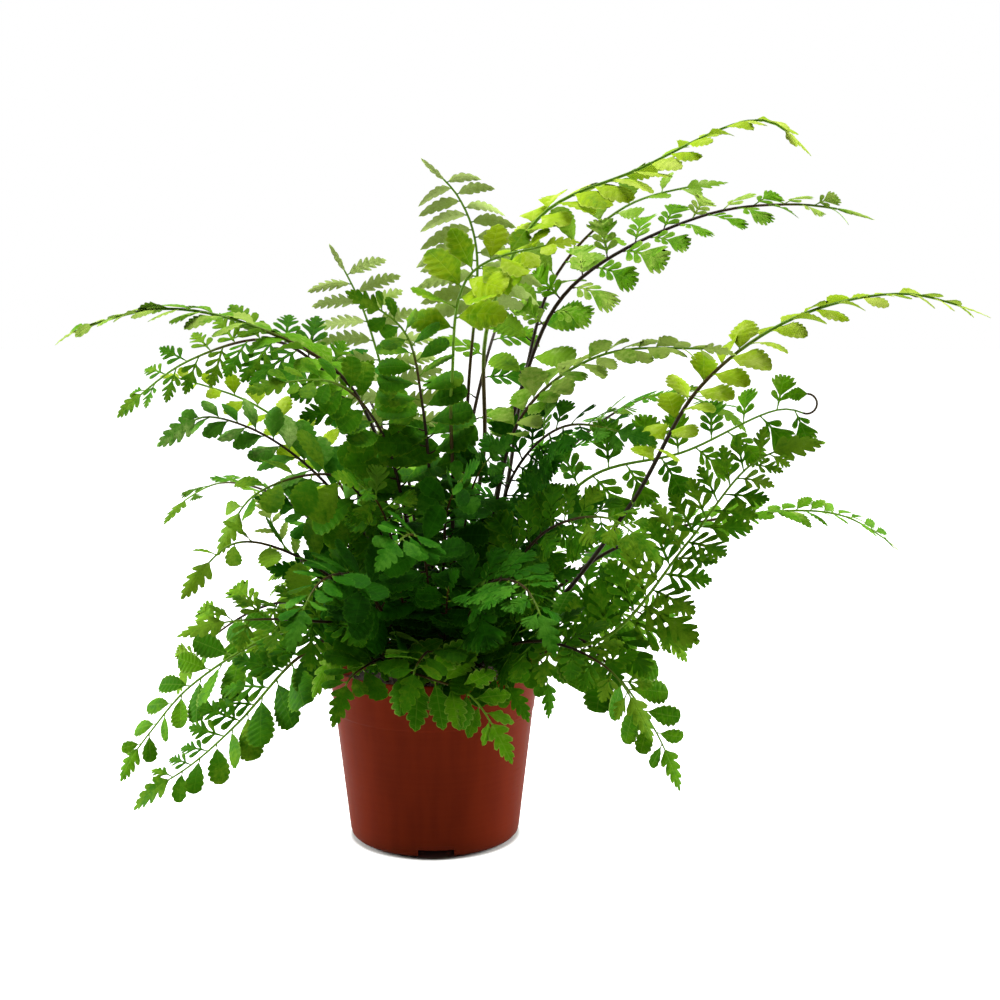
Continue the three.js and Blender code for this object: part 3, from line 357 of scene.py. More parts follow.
# Leaflet outlines: share of the length, share of the greatest half breadth
OVAL = [(0, 0.06), (0.1, 0.34), (0.24, 0.7), (0.42, 0.95), (0.6, 1), (0.78, 0.86), (0.92, 0.5), (1, 0)]
LANCE = [(0, 0.08), (0.1, 0.4), (0.27, 1), (0.48, 0.94), (0.7, 0.7), (0.88, 0.38), (1, 0)]
STRAP = [(0, 0.3), (0.12, 0.8), (0.3, 1), (0.6, 0.8), (0.85, 0.44), (1, 0)]

# Margin of a free pinnule, a small leaflet of a leaflet: shares of its length and of its half breadth,
# the side nearer the leaflet's foot first
PINNULE = [(0.22, 0.4), (0.46, 0.82), (0.7, 1), (0.9, 0.8), (0.93, 0.38), (1, 0), (0.95, -0.42),
    (0.9, -0.84), (0.64, -0.98), (0.26, -0.48)]
PINNULE_ROOT = 0.04
PINNULE_GAP = 0.03
PINNULE_POINTS = len(PINNULE) + 2


def pinnule(foot, turn, length, breadth):
    """Points of a half margin, as below, round a pinnule that leaves the midrib at the given turn."""
    along, out = math.cos(math.radians(turn)), math.sin(math.radians(turn))
    points = [(foot, foot, PINNULE_GAP)]
    for number, (reach, side) in enumerate(PINNULE, 1):
        place = foot + PINNULE_ROOT * number / (PINNULE_POINTS - 1)
        middle = foot + PINNULE_ROOT / 2
        points.append((place, middle + reach * length * along - side * breadth * out,
            reach * length * out + side * breadth * along))
    return [*points, (foot + PINNULE_ROOT, foot + PINNULE_ROOT, PINNULE_GAP)]


# Half margins of the lobed leaflets, from the base to near the tip. Each point has the place on the
# midrib that its side vein leaves from, and then its own place along and across the blade.
FAN_MARGIN = [
    (0, 0, 0.02), *pinnule(0.07, 52, 0.34, 0.082), *pinnule(0.24, 46, 0.36, 0.086),
    (0.41, 0.41, PINNULE_GAP), (0.48, 0.56, 0.15), (0.54, 0.68, 0.26), (0.6, 0.79, 0.34), (0.65, 0.88, 0.34),
    (0.68, 0.81, 0.25), (0.72, 0.96, 0.28), (0.76, 0.97, 0.21), (0.79, 0.87, 0.15), (0.83, 1, 0.17),
    (0.87, 1.01, 0.1), (0.9, 0.91, 0.05), (0.94, 1, 0.045),
]
CUT_MARGIN = [
    (0, 0, 0.018), *pinnule(0.05, 55, 0.36, 0.076), *pinnule(0.25, 48, 0.39, 0.078),
    (0.44, 0.44, PINNULE_GAP), (0.47, 0.53, 0.09), (0.5, 0.61, 0.18), (0.53, 0.69, 0.24),
    (0.56, 0.74, 0.22), (0.58, 0.7, 0.13), (0.6, 0.67, 0.075), (0.63, 0.75, 0.14), (0.67, 0.82, 0.19),
    (0.7, 0.86, 0.16), (0.73, 0.82, 0.08), (0.79, 0.89, 0.12), (0.84, 0.94, 0.1), (0.87, 0.93, 0.05),
    (0.94, 0.99, 0.045),
]
END_MARGIN = [
    (0, 0, 0.02), (0.05, 0.08, 0.1), (0.1, 0.18, 0.23), (0.15, 0.29, 0.29), (0.19, 0.34, 0.22),
    (0.23, 0.31, 0.12), (0.28, 0.4, 0.2), (0.34, 0.51, 0.26), (0.38, 0.57, 0.22), (0.42, 0.54, 0.13),
    (0.48, 0.63, 0.18), (0.54, 0.72, 0.2), (0.59, 0.76, 0.16), (0.63, 0.73, 0.1), (0.7, 0.82, 0.13),
    (0.77, 0.89, 0.11), (0.82, 0.87, 0.06), (0.9, 0.95, 0.05),
]

# How each kind of leaflet is formed. Stem is its bare part, as a share of its length. A margin is one
# of those above, and starts are the places in it where smaller leaflets begin. The other kinds have an
# outline and their greatest half breadth; slant says how far their side veins run forward, and cuts
# are the depths of the notches from the base to the tip.
KINDS = {
    "oval": dict(stem=0.14, outline=OVAL, breadth=0.34, slant=0.3,
        cuts=(0, 0.02, 0.12, 0.16, 0.16, 0.16, 0.16, 0.14)),
    "fan": dict(stem=0.1, margin=FAN_MARGIN, starts=(0, PINNULE_POINTS, 2 * PINNULE_POINTS)),
    "cut": dict(stem=0.06, margin=CUT_MARGIN, starts=(0, PINNULE_POINTS, 2 * PINNULE_POINTS)),
    "toothed": dict(stem=0.1, outline=LANCE, breadth=0.28, slant=0.5,
        cuts=(0.1, 0.24, 0.3, 0.32, 0.3, 0.26)),
    "wavy": dict(stem=0.08, outline=LANCE, breadth=0.37, slant=0.5,
        cuts=(0.05, 0.12, 0.16, 0.18, 0.16, 0.14)),
    "comb": dict(stem=0.06, outline=STRAP, breadth=0.17, slant=0.6,
        cuts=(0.1, 0.2, 0.26, 0.28, 0.28, 0.26, 0.2)),
    "feather": dict(stem=0.06, outline=STRAP, breadth=0.17, slant=0.9,
        cuts=(0.3, 0.5, 0.6, 0.62, 0.6, 0.5, 0.4)),
    "lobed_end": dict(stem=0, margin=END_MARGIN, starts=(0,)),
    "tail_end": dict(stem=0, outline=STRAP, breadth=0.1, slant=0.8, cuts=(0.4, 0.4, 0.3, 0.2)),
}

# The depth of a notch and its sides, from one notch of a scalloped margin to the next
SCALLOP = (1, 0.3, 0, 0.16)

# The side veins of a blade with a margin of its own, how much wider one half of a blade is than the other,
# and how many places further along the list of its starts a blade of no size at all would begin
LOBED_VEINS = 5
LOBED_HALVES = (1.05, 0.95)
SCALLOPED_HALVES = (1.06, 0.94)
STARTS_LOST = 3.2


# Small tools for vectors, meshes and pieces


def unit(vector):
    return vector / np.linalg.norm(vector)


def turned_about(axis, vector, turn):
    """A vector at right angles to the axis, turned about it."""
    return vector * math.cos(turn) + np.cross(axis, vector) * math.sin(turn)


def colour(hex_code):
    """A colour for a shader socket from its usual six-figure code."""
    parts = [int(hex_code[i:i + 2], 16) / 255 for i in (0, 2, 4)]
    linear = [c / 12.92 if c <= 0.04045 else ((c + 0.055) / 1.055) ** 2.4 for c in parts]
    return (*linear, 1)


def piece_from(name, mesh, materials):
    """An object of the plant that rides on its only body."""
    piece = bpy.data.objects.new(name, mesh)
    bpy.context.scene.collection.objects.link(piece)
    for material in materials:
        mesh.materials.append(material)
    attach(piece, "root")
    return piece


def mesh_from(work, name):
    mesh = bpy.data.meshes.new(name)
    work.to_mesh(mesh)
    work.free()
    return mesh


def smooth_but_sharp(mesh, angle):
    """Smooth faces, with the edges that turn by more than the angle left sharp."""
    work = bmesh.new()
    work.from_mesh(mesh)
    for face in work.faces:
        face.smooth = True
    for edge in work.edges:
        edge.smooth = len(edge.link_faces) == 2 and edge.calc_face_angle() < math.radians(angle)
    work.to_mesh(mesh)
    work.free()


# Shader nodes


class Nodes:
    """Short names for the shader nodes that the materials below are made of."""

    def __init__(self, name):
        self.material = bpy.data.materials.new(name)
        self.material.use_nodes = True
        self.tree = self.material.node_tree
        self.shader = self.tree.nodes["Principled BSDF"]

    def add(self, kind, settings=None, **inputs):
        node = self.tree.nodes.new(kind)
        for key, value in (settings or {}).items():
            setattr(node, key, value)
        for key, value in inputs.items():
            self.put(node.inputs[key.replace("_", " ")], value)
        return node

    def put(self, socket, value):
        if isinstance(value, bpy.types.NodeSocket):
            self.tree.links.new(value, socket)
        else:
            socket.default_value = value

    def finish(self, **inputs):
        for key, value in inputs.items():
            self.put(self.shader.inputs[key.replace("_", " ")], value)
        return self.material

    def maths(self, operation, first, second=0.0):
        node = self.add("ShaderNodeMath", {"operation": operation})
        self.put(node.inputs[0], first)
        self.put(node.inputs[1], second)
        return node.outputs[0]

    def plus(self, first, second):
        return self.maths("ADD", first, second)

    def times(self, first, second):
        return self.maths("MULTIPLY", first, second)

    def swing(self, value, reach):
        """A value that varies about one half, made to vary about zero, this many times as far."""
        return self.times(self.maths("SUBTRACT", value, 0.5), reach)

    def from_middle(self, value):
        """How far a value is from the middle between two whole numbers."""
        return self.maths("ABSOLUTE", self.maths("SUBTRACT", self.maths("FRACT", value), 0.5))

    def spread(self, value, low, high, start=0.0, end=1.0):
        """Value from low to high becomes start to end, with soft ends."""
        node = self.add("ShaderNodeMapRange", {"interpolation_type": "SMOOTHSTEP"}, Value=value)
        node.inputs["From Min"].default_value = low
        node.inputs["From Max"].default_value = high
        node.inputs["To Min"].default_value = start
        node.inputs["To Max"].default_value = end
        return node.outputs["Result"]

    def mix(self, share, first, second):
        node = self.add("ShaderNodeMix", {"data_type": "RGBA"})
        self.put(node.inputs[0], share)
        self.put(node.inputs[6], first)
        self.put(node.inputs[7], second)
        return node.outputs[2]

    def place(self):
        return self.add("ShaderNodeTexCoord").outputs["Object"]

    def stretched(self, scale):
        """The object's coordinates in metres, multiplied along each axis."""
        node = self.add("ShaderNodeMapping", Vector=self.place())
        node.inputs["Scale"].default_value = scale
        return node.outputs["Vector"]

    def noise(self, scale, detail=3.0, roughness=0.5, vector=None):
        node = self.add("ShaderNodeTexNoise", Scale=scale, Detail=detail, Roughness=roughness)
        self.put(node.inputs["Vector"], vector or self.place())
        return node.outputs["Fac"]

    def attribute(self, name):
        node = self.add("ShaderNodeAttribute", {"attribute_name": name})
        parts = self.add("ShaderNodeSeparateXYZ", Vector=node.outputs["Vector"])
        return parts.outputs["X"], parts.outputs["Y"], parts.outputs["Z"]

    def number(self, name):
        return self.add("ShaderNodeAttribute", {"attribute_name": name}).outputs["Fac"]

    def bump(self, height, depth, strength=1.0):
        node = self.add("ShaderNodeBump", Height=height, Strength=strength, Distance=depth * MM)
        return node.outputs["Normal"]


def leaf_material(name, shade, body, light):
    """A blade: mottled green, pale forked veins, a lighter margin and a paler, duller underside."""
    n = Nodes(name)
    phase, across, share = n.attribute("leaf")
    # Each leaflet's lightness includes painted shade in the heart of the plant.
    lightness, _, _ = n.attribute("growth")
    below = n.number("below")
    side_vein = n.from_middle(phase)
    fork = n.from_middle(n.times(phase, 2.0))
    side_line = n.spread(side_vein, 0.03, 0.12, 1.0, 0.0)
    fork_line = n.times(n.spread(fork, 0.06, 0.2, 0.8, 0.0), n.spread(share, 0.3, 0.6))
    midrib = n.spread(n.maths("ABSOLUTE", across), 0.12, 0.45, 1.0, 0.0)
    veins = n.maths("MAXIMUM", midrib, n.times(n.maths("MAXIMUM", side_line, fork_line), 0.7))
    patches = n.noise(95.0, 2.0)
    mottles = n.noise(420.0, 3.0, 0.6)
    cells = n.noise(1500.0, 2.0)
    tone = n.plus(n.swing(patches, 0.9), lightness)
    tone = n.plus(n.swing(mottles, 0.7), tone)
    green = n.mix(n.spread(tone, 0.0, 0.5), shade, body)
    green = n.mix(n.spread(tone, 0.5, 1.0), green, light)
    green = n.mix(n.spread(tone, 1.0, 1.9), green, colour("b6cc76"))
    green = n.mix(n.spread(cells, 0.35, 0.65, 0.0, 0.16), green, shade)
    green = n.mix(n.spread(share, 0.8, 1.0, 0.0, 0.45), green, light)
    green = n.mix(n.times(veins, 0.14), green, light)
    green = n.mix(n.times(below, 0.3), green, colour("647e28"))
    rough = n.plus(n.spread(mottles, 0.3, 0.7, 0.5, 0.64), n.times(below, 0.16))
    relief = n.plus(n.times(veins, -0.5), n.times(mottles, 0.8))
    relief = n.plus(relief, n.times(cells, 0.1))
    return n.finish(Base_Color=green, Roughness=rough, Specular_IOR_Level=0.02,
        Normal=n.bump(relief, 0.16, 0.8))


def stalk_material():
    """A stalk, near black at its foot and brown to green further up, with fine lengthwise lines."""
    n = Nodes("stalk")
    along, round_it, _ = n.attribute("leaf")
    _, ripeness, _ = n.attribute("growth")
    lines = n.add("ShaderNodeCombineXYZ", X=n.times(along, 0.02), Y=round_it)
    grain = n.noise(9.0, 3.0, vector=lines.outputs["Vector"])
    blotches = n.noise(240.0, 2.0)
    ripe = n.plus(ripeness, n.swing(blotches, 0.25))
    tone = n.mix(n.spread(ripe, 0.1, 0.5), colour("5f8c18"), colour("3c300c"))
    tone = n.mix(n.spread(ripe, 0.45, 0.9), tone, colour("180f04"))
    tone = n.mix(n.spread(grain, 0.35, 0.7, 0.0, 0.18), tone, colour("5c4420"))
    rough = n.spread(grain, 0.3, 0.7, 0.3, 0.5)
    return n.finish(Base_Color=tone, Roughness=rough, Specular_IOR_Level=0.1,
        Normal=n.bump(grain, 0.12, 0.6))


def pot_material():
    """Brownish red moulded plastic with faint flow lines, a fine orange-peel skin, light scuffs and painted
    shade towards its foot.
    """
    n = Nodes("pot_plastic")
    flow = n.noise(1.0, 3.0, vector=n.stretched((140.0, 140.0, 16.0)))
    rings = n.noise(1.0, 2.0, vector=n.stretched((6.0, 6.0, 700.0)))
    skin = n.noise(1100.0, 3.0)
    scuffs = n.noise(1.0, 4.0, 0.7, n.stretched((90.0, 90.0, 420.0)))
    height = n.add("ShaderNodeSeparateXYZ", Vector=n.place()).outputs["Z"]
    red = n.mix(n.spread(flow, 0.3, 0.7), colour("5f1b06"), colour("671f08"))
    red = n.mix(n.spread(rings, 0.35, 0.7, 0.0, 0.15), red, colour("70240c"))
    red = n.mix(n.spread(scuffs, 0.66, 0.8, 0.0, 0.2), red, colour("7d3519"))
    # Painted shade: darker towards the pot's foot, near the floor.
    red = n.mix(n.spread(height, 0.012, 0.0, 0.0, 0.35), red, colour("42170a"))
    rough = n.plus(n.spread(flow, 0.3, 0.7, 0.48, 0.56), n.spread(scuffs, 0.6, 0.75, 0.0, 0.18))
    relief = n.plus(n.times(rings, 0.6), n.times(skin, 0.4))
    return n.finish(Base_Color=red, Roughness=rough, Specular_IOR_Level=0.03,
        Normal=n.bump(relief, 0.06, 0.4))


def peat_material():
    """Damp peat: dark fibres and grains with paler bits."""
    n = Nodes("peat")
    lumps = n.noise(160.0, 5.0, 0.7)
    fibres = n.noise(1.0, 4.0, 0.7, n.stretched((1400.0, 260.0, 600.0)))
    grains = n.noise(900.0, 4.0, 0.7)
    brown = n.mix(n.spread(lumps, 0.3, 0.7), colour("150d08"), colour("3a2718"))
    brown = n.mix(n.spread(fibres, 0.55, 0.7, 0.0, 0.45), brown, colour("4a3420"))
    brown = n.mix(n.spread(grains, 0.62, 0.72, 0.0, 0.35), brown, colour("6a5438"))
    relief = n.plus(n.times(fibres, 0.5), grains)
    rough = n.spread(lumps, 0.3, 0.7, 0.8, 0.95)
    return n.finish(Base_Color=brown, Roughness=rough, Normal=n.bump(relief, 0.8))


def rootstock_material():
    """The crown: matted brown scales and old leaf bases."""
    n = Nodes("rootstock")
    streaks = n.noise(1.0, 4.0, 0.65, n.stretched((700.0, 700.0, 120.0)))
    patches = n.noise(220.0, 3.0)
    brown = n.mix(n.spread(streaks, 0.3, 0.7), colour("1c110a"), colour("4b3320"))
    brown = n.mix(n.spread(patches, 0.5, 0.75, 0.0, 0.6), brown, colour("7a5a36"))
    rough = n.spread(patches, 0.3, 0.7, 0.65, 0.9)
    return n.finish(Base_Color=brown, Roughness=rough, Normal=n.bump(streaks, 0.7))


def floor_material():
    """A pale table that shows as bright as the surround, except for a painted shadow under and just round the
    pot, and lights it less.
    """
    n = Nodes("studio_floor")
    reach = n.add("ShaderNodeVectorMath", {"operation": "LENGTH"}, Vector=n.place()).outputs["Value"]
    seen = n.add("ShaderNodeLightPath").outputs["Is Camera Ray"]
    glow = n.mix(seen, (0.3, 0.3, 0.3, 1), (1, 1, 1, 1))
    # Painted shadow: the glow fades to black under and just round the pot's foot.
    glow = n.mix(n.spread(reach, 0.047, 0.051), (0, 0, 0, 1), glow)
    tone = n.mix(n.spread(n.noise(60.0), 0.3, 0.7), colour("dcdcda"), colour("e4e4e2"))
    return n.finish(Base_Color=tone, Roughness=n.spread(n.noise(25.0), 0.3, 0.7, 0.75, 0.85),
        Emission_Color=glow, Emission_Strength=1.0)


# Stalks: the same line as the solid's, and which way the upper side looks


def polar(radius, bearing, z):
    turn = math.radians(bearing)
    return (radius * math.cos(turn), radius * math.sin(turn), z)


def smooth_line(points, steps=24):
    """Points on the centripetal curve through the given ones."""
    points = np.array(points, float)
    padded = np.vstack([2 * points[0] - points[1], points, 2 * points[-1] - points[-2]])
    line = []
    for before, start, end, after in zip(padded, padded[1:], padded[2:], padded[3:]):
        first, middle, last = (math.sqrt(math.dist(*pair))
            for pair in ((before, start), (start, end), (end, after)))
        leave = (start - before) / first - (end - before) / (first + middle) + (end - start) / middle
        arrive = (end - start) / middle - (after - start) / (middle + last) + (after - end) / last
        leave, arrive = leave * middle, arrive * middle
        for t in np.arange(steps) / steps:
            square = 3 * (end - start) - 2 * leave - arrive
            line.append(start + leave * t + square * t**2 + (2 * (start - end) + leave + arrive) * t**3)
    return np.array([*line, points[-1]])


class Stalk:
    """The line of one frond's stalk and midrib."""

    def __init__(self, plan):
        radius, bearing = plan["foot"]
        start = polar(radius, bearing, FOOT_DEPTH)
        clear = polar(radius * FOOT_LEAN, bearing, FOOT_CLEAR)
        self.line = smooth_line([start, clear, *plan["route"]])
        steps = np.linalg.norm(np.diff(self.line, axis=0), axis=1)
        self.length = steps.sum()
        self.shares = np.concatenate([[0], np.cumsum(steps)]) / self.length
        self.faces = [unit(np.array(face, float)) for face in plan["faces"]]
        self.bare = plan["bare"]
        self.stoutness = min(STOUTEST, STOUT_FROM + STOUT_GAIN * self.length / STOUT_LENGTH)
        self.end_size = plan["end"] * plan["length"]
        self.end = 1 - END_BEYOND_STALK * self.end_size / self.length

    def at(self, share):
        return np.array([np.interp(share, self.shares, self.line[:, axis]) for axis in range(3)])

    def along(self, share):
        return unit(self.at(min(share + 0.006, 1)) - self.at(max(share - 0.006, 0)))

    def frame(self, share):
        """Place, along, up and side in the leafy stretch."""
        along = self.along(share)
        first, last = self.faces
        turn = max(0, (share - self.bare) / (1 - self.bare))
        face = first + (last - first) * turn
        up = unit(face - along * face.dot(along))
        return self.at(share), along, up, np.cross(up, along)

    def frames(self, shares):
        """Frames at these shares; below the leafy stretch the upper side keeps its turn."""
        frames = [self.frame(share) for share in shares]
        for i in reversed(range(len(shares) - 1)):
            if shares[i] < self.bare:
                place, along, _, _ = frames[i]
                up = frames[i + 1][2]
                up = unit(up - along * up.dot(along))
                frames[i] = (place, along, up, np.cross(up, along))
        return frames


class Growth:
    """The points and faces of one frond, and what its materials read from them."""

    def __init__(self):
        self.points = []
        self.leaf = []
        self.growth = []
        self.faces = []
        self.below = []
        self.material = []
        self.rims = []
        self.count = 0

    def add(self, rings, tip, leaf, lightness, ripeness, material, mirrored=False):
        """A closed skin over rings of SIDES points that ends in one point.

        Blades (material 0) have their margins at points 0 and 4 of a ring, their underside beyond 4."""
        rings_count = len(rings)
        first = self.count
        end = first + rings_count * SIDES
        self.points.append(np.vstack([rings.reshape(-1, 3), tip]))
        self.leaf.append(np.vstack([leaf.reshape(-1, 3), leaf[-1, 2] * (1, 0, 1)]))
        ripe = np.append(np.repeat(ripeness, SIDES), ripeness[-1])
        light = np.full(len(ripe), lightness)
        self.growth.append(np.column_stack([light, ripe, 0 * ripe]))
        self.rims.append(np.append(np.tile(np.arange(SIDES) % 4 == 0, rings_count), True) & (material == 0))
        faces = [[first + k for k in reversed(range(SIDES))]]
        below = [0]
        for i in range(rings_count):
            low = first + i * SIDES
            for k in range(SIDES):
                after = (k + 1) % SIDES
                if i + 1 < rings_count:
                    faces.append([low + k, low + after, low + after + SIDES, low + k + SIDES])
                else:
                    faces.append([low + k, low + after, end])
                below.append(int(material == 0 and k >= 4))
        if mirrored:
            faces = [face[::-1] for face in faces]
        self.faces += faces
        self.below += below
        self.material += [material] * len(faces)
        self.count = end + 1

    def mesh(self, name):
        mesh = bpy.data.meshes.new(name)
        points = np.vstack(self.points) * MM
        mesh.from_pydata(points.tolist(), [], self.faces)
        mesh.polygons.foreach_set("material_index", self.material)
        mesh.polygons.foreach_set("use_smooth", [True] * len(self.faces))
        ends = np.empty(2 * len(mesh.edges), int)
        mesh.edges.foreach_get("vertices", ends)
        ends = ends.reshape(-1, 2)
        on_rim = np.concatenate(self.rims)
        lengthwise = (np.abs(ends[:, 0] - ends[:, 1]) == SIDES) & on_rim[ends].all(axis=1)
        for attribute, kind, part, field, values in (
            ("leaf", "FLOAT_VECTOR", "POINT", "vector", np.vstack(self.leaf)),
            ("growth", "FLOAT_VECTOR", "POINT", "vector", np.vstack(self.growth)),
            ("below", "FLOAT", "FACE", "value", np.array(self.below, float)),
            ("sharp_edge", "BOOLEAN", "EDGE", "value", lengthwise),
        ):
            mesh.attributes.new(attribute, kind, part).data.foreach_set(field, values.ravel())
        mesh.update()
        return mesh


def ring(place, first, second, radius):
    turns = np.arange(SIDES) * 2 * math.pi / SIDES
    return place + radius * (np.outer(np.cos(turns), first) + np.outer(np.sin(turns), second))


def add_stalk(growth, stalk, plan):
    """The stalk, hollowed along its upper side and thicker on a long frond, and the midrib it runs on as."""
    shares = np.linspace(0, stalk.end, STALK_RINGS)
    rings = []
    leaf = []
    for share, (place, _, up, side) in zip(shares, stalk.frames(shares)):
        radius = (STALK_RADIUS + (TIP_RADIUS - STALK_RADIUS) * share**STALK_THINNING) * stalk.stoutness
        points = ring(place, side, up, radius)
        points[2] -= up * STALK_HOLLOW * radius
        rings.append(points)
        leaf.append([(share * stalk.length, k, 0) for k in range(SIDES)])
    tip = stalk.at(stalk.end + 1 / stalk.length)
    browned = BROWNED[plan["green"]] + plan["browned"]
    ripeness = np.clip((browned - shares) / 0.3 + 0.5, 0, 1)
    growth.add(np.array(rings), tip, np.array(leaf, float), 0.5, ripeness, 1, mirrored=True)


def add_stem(growth, start, end, up, radius, ripeness):
    """The short stem between the midrib and a leaflet's blade, a little bowed and slimmer to its end."""
    along = unit(end - start)
    first = unit(np.cross(along, up))
    second = np.cross(first, along)
    length = math.dist(start, end)
    rings = []
    for t in (0, 0.35, 0.7, 1):
        bow = up * 0.35 * length * t * (1 - t)
        rings.append(ring(start + (end - start) * t - bow, first, second, radius * (1.3 - 0.5 * t)))
    leaf = np.array([[(t, k, 0) for k in range(SIDES)] for t in range(len(rings))], float)
    growth.add(np.array(rings), end + along * radius, leaf, 0.5, np.full(len(rings), ripeness), 1, True)


def add_curl(growth, stalk, degrees):
    """The stalk's end where it bends back over itself, and the frame there for the leaflet it carries."""
    root, along, _, _ = stalk.frame(stalk.end)
    rise = unit(np.array((0, 0, 1)) - along * along[2])
    side = np.cross(rise, along)
    rings = []
    for turn in np.linspace(0, math.radians(degrees), CURL_RINGS):
        inwards = rise * math.cos(turn) - along * math.sin(turn)
        place = root + (rise - inwards) * CURL_RADIUS
        rings.append(ring(place, side, inwards, CURL_THICKNESS))
    onwards = along * math.cos(turn) + rise * math.sin(turn)
    tip = place + onwards * CURL_THICKNESS
    leaf = np.array([[(t, k, 0) for k in range(SIDES)] for t in range(len(rings))], float)
    growth.add(np.array(rings), tip, leaf, 0.5, np.full(len(rings), 0.6), 1, True)
    return place, onwards, -side, inwards


def scalloped(form, size):
    """Reach of the side veins along the midrib, and the margin on both sides, for a scalloped blade."""
    cuts = form["cuts"][-max(3, round(len(form["cuts"]) * size)):]
    count = len(SCALLOP) * len(cuts)
    reach = np.arange(count) / count
    depth = np.repeat(cuts, len(SCALLOP))
    half = form["breadth"] * np.interp(reach, *zip(*form["outline"]))
    margins = []
    for shift, breadth in zip((0, 2), SCALLOPED_HALVES):
        out = half * breadth * (1 - depth * np.roll(np.tile(SCALLOP, len(cuts)), shift))
        margins.append(np.column_stack([reach + form["slant"] * out, out]))
    return reach, len(cuts), margins


def lobed(form, size):
    """The same for a blade with a margin of its own; a smaller blade starts further along it."""
    starts = form["starts"]
    start = starts[min(len(starts) - 1, max(0, round((1.0 - size) * STARTS_LOST)))]
    points = np.array(form["margin"][start:])
    first = points[0, 0]
    points[:, :2] = (points[:, :2] - first) / (1 - first)
    points[:, 2] /= math.sqrt(1 - first)
    points[0] = (0, 0, 0.02)
    reach = points[:, 0]
    return reach, LOBED_VEINS, [points[:, 1:] * (1, breadth) for breadth in LOBED_HALVES]


def add_blade(growth, root, axis, across, normal, length, kind, size, hang, lightness, draw):
    """One blade from its root along its axis, with a ring of points for each step of its margin."""
    form = KINDS[kind]
    reach, lobe_count, (towards_tip, towards_foot) = (lobed if "margin" in form else scalloped)(form, size)
    towards_foot = towards_foot * (1, -1)
    furthest = max(1, towards_tip[:, 0].max(), towards_foot[:, 0].max())
    unit_length = length / furthest
    arch = draw.uniform(*ARCH)
    cup = draw.uniform(*CUP)
    twist = math.radians(draw.uniform(-TWIST_VARIES, TWIST_VARIES))
    phase = reach * lobe_count
    ripple = RIPPLE * np.sin(2 * math.pi * phase + draw.uniform(0, 6))
    midrib = np.column_stack([reach, 0 * reach])
    thickness = BLADE_THICKNESS * (1 - BLADE_THINNING * reach)

    def surface(flat, share, height):
        """Points of the curved blade, at this share of the way from its midrib to its margin."""
        x, y = flat[:, 0], flat[:, 1]
        turn = twist * x
        lift = (cup * np.abs(y) + ripple * share - arch * x**2) * unit_length + height
        sideways = y * unit_length
        return (root + np.outer(x * unit_length, axis) - np.outer(hang * x**2 * unit_length, (0, 0, 1))
            + np.outer(sideways * np.cos(turn) - lift * np.sin(turn), across)
            + np.outer(sideways * np.sin(turn) + lift * np.cos(turn), normal))

    upper, lower = (BLADE_INNER, 0.5), (BLADE_INNER, -0.5)
    columns = [
        (towards_tip, 1, 0), (towards_tip, *upper), (midrib, 0, 0.25), (towards_foot, *upper),
        (towards_foot, 1, 0), (towards_foot, *lower), (midrib, 0, -1), (towards_tip, *lower),
    ]
    rings = []
    leaf = []
    for margin, share, height in columns:
        flat = midrib + (margin - midrib) * share
        rings.append(surface(flat, share, height * thickness))
        shift = 0.5 if margin is towards_foot else 0
        leaf.append(np.column_stack([phase + shift, flat[:, 1] * unit_length, 0 * phase + share]))
    drop = -arch * unit_length
    tip = root + axis * unit_length + (normal * math.cos(twist) - across * math.sin(twist)) * drop
    tip[2] -= hang * unit_length
    mirrored = np.dot(np.cross(axis, across), normal) < 0
    growth.add(np.stack(rings, axis=1), tip, np.stack(leaf, axis=1), lightness, 0 * phase, 0, mirrored)


def leaflet_size(place, taper):
    """Leaflets grow over the first quarter of the leafy stretch and shrink from there to the tip."""
    if place < 0.25:
        return 0.95 + 0.17 * place / 0.25
    return 1.12 - taper * ((place - 0.25) / 0.75) ** 1.3


# Painted shade: how much darker a leaflet is made near the heart of the plant, where the foliage round it
# shades it.
def heart_painted_shade(root):
    x, y, z = root - HEART_MIDDLE
    return -HEART_DARKER * math.exp(-(math.hypot(x, y) / HEART_RADIUS) ** 2 - (z / HEART_HEIGHT) ** 2)


def add_leaflet(growth, stalk, plan, place, sideways, draw):
    share = stalk.bare + (stalk.end - stalk.bare) * place
    root, along, up, side = stalk.frame(share)
    first, last = plan["spread"]
    angle = math.radians(first + (last - first) * place + draw.uniform(-ANGLE_VARIES, ANGLE_VARIES))
    lift = math.radians(plan["lift"] + draw.uniform(-LIFT_VARIES, LIFT_VARIES))
    outward = side * sideways * math.cos(lift) + up * math.sin(lift)
    axis = along * math.cos(angle) + outward * math.sin(angle)
    axis = unit(axis * (1, 1, 1 - plan["sag"]))
    normal = unit(np.cross(axis, along)) * -sideways
    across = unit(along - axis * along.dot(axis))
    level = np.array((0, 0, 1)) - axis * axis[2]
    to_level = math.atan2(np.cross(normal, level).dot(axis), normal.dot(level))
    roll = math.radians(draw.uniform(-ROLL_VARIES, ROLL_VARIES))
    roll += to_level * plan["level"] * draw.uniform(*LEVELLING)
    across, normal = (turned_about(axis, vector, roll) for vector in (across, normal))
    size = leaflet_size(place, plan["taper"])
    length = LEAFLET_SCALE * plan["length"] * size * draw.uniform(*LENGTHS)
    kind = (sideways > 0 and plan["left_kind"]) or plan["kind"]
    stem = KINDS[kind]["stem"] * length
    start = root + axis * stem
    ripeness = 0.8 if share < BROWNED[plan["green"]] + plan["browned"] - 0.12 else 0.05
    add_stem(growth, root, start + axis * 0.5, normal, STEM_RADIUS - STEM_THINNING * place, ripeness)
    varied = LIGHT_FIRST + LIGHT_GAIN * place + draw.uniform(-LIGHT_VARIES, LIGHT_VARIES)
    # The leaflet's lightness includes the painted shade of the heart of the plant.
    lightness = varied + plan["paler"] + heart_painted_shade(root)
    hang = draw.uniform(*HANG) + 0.4 * plan["sag"]
    add_blade(growth, start, axis, across, normal, length - stem, kind, size, hang, lightness, draw)


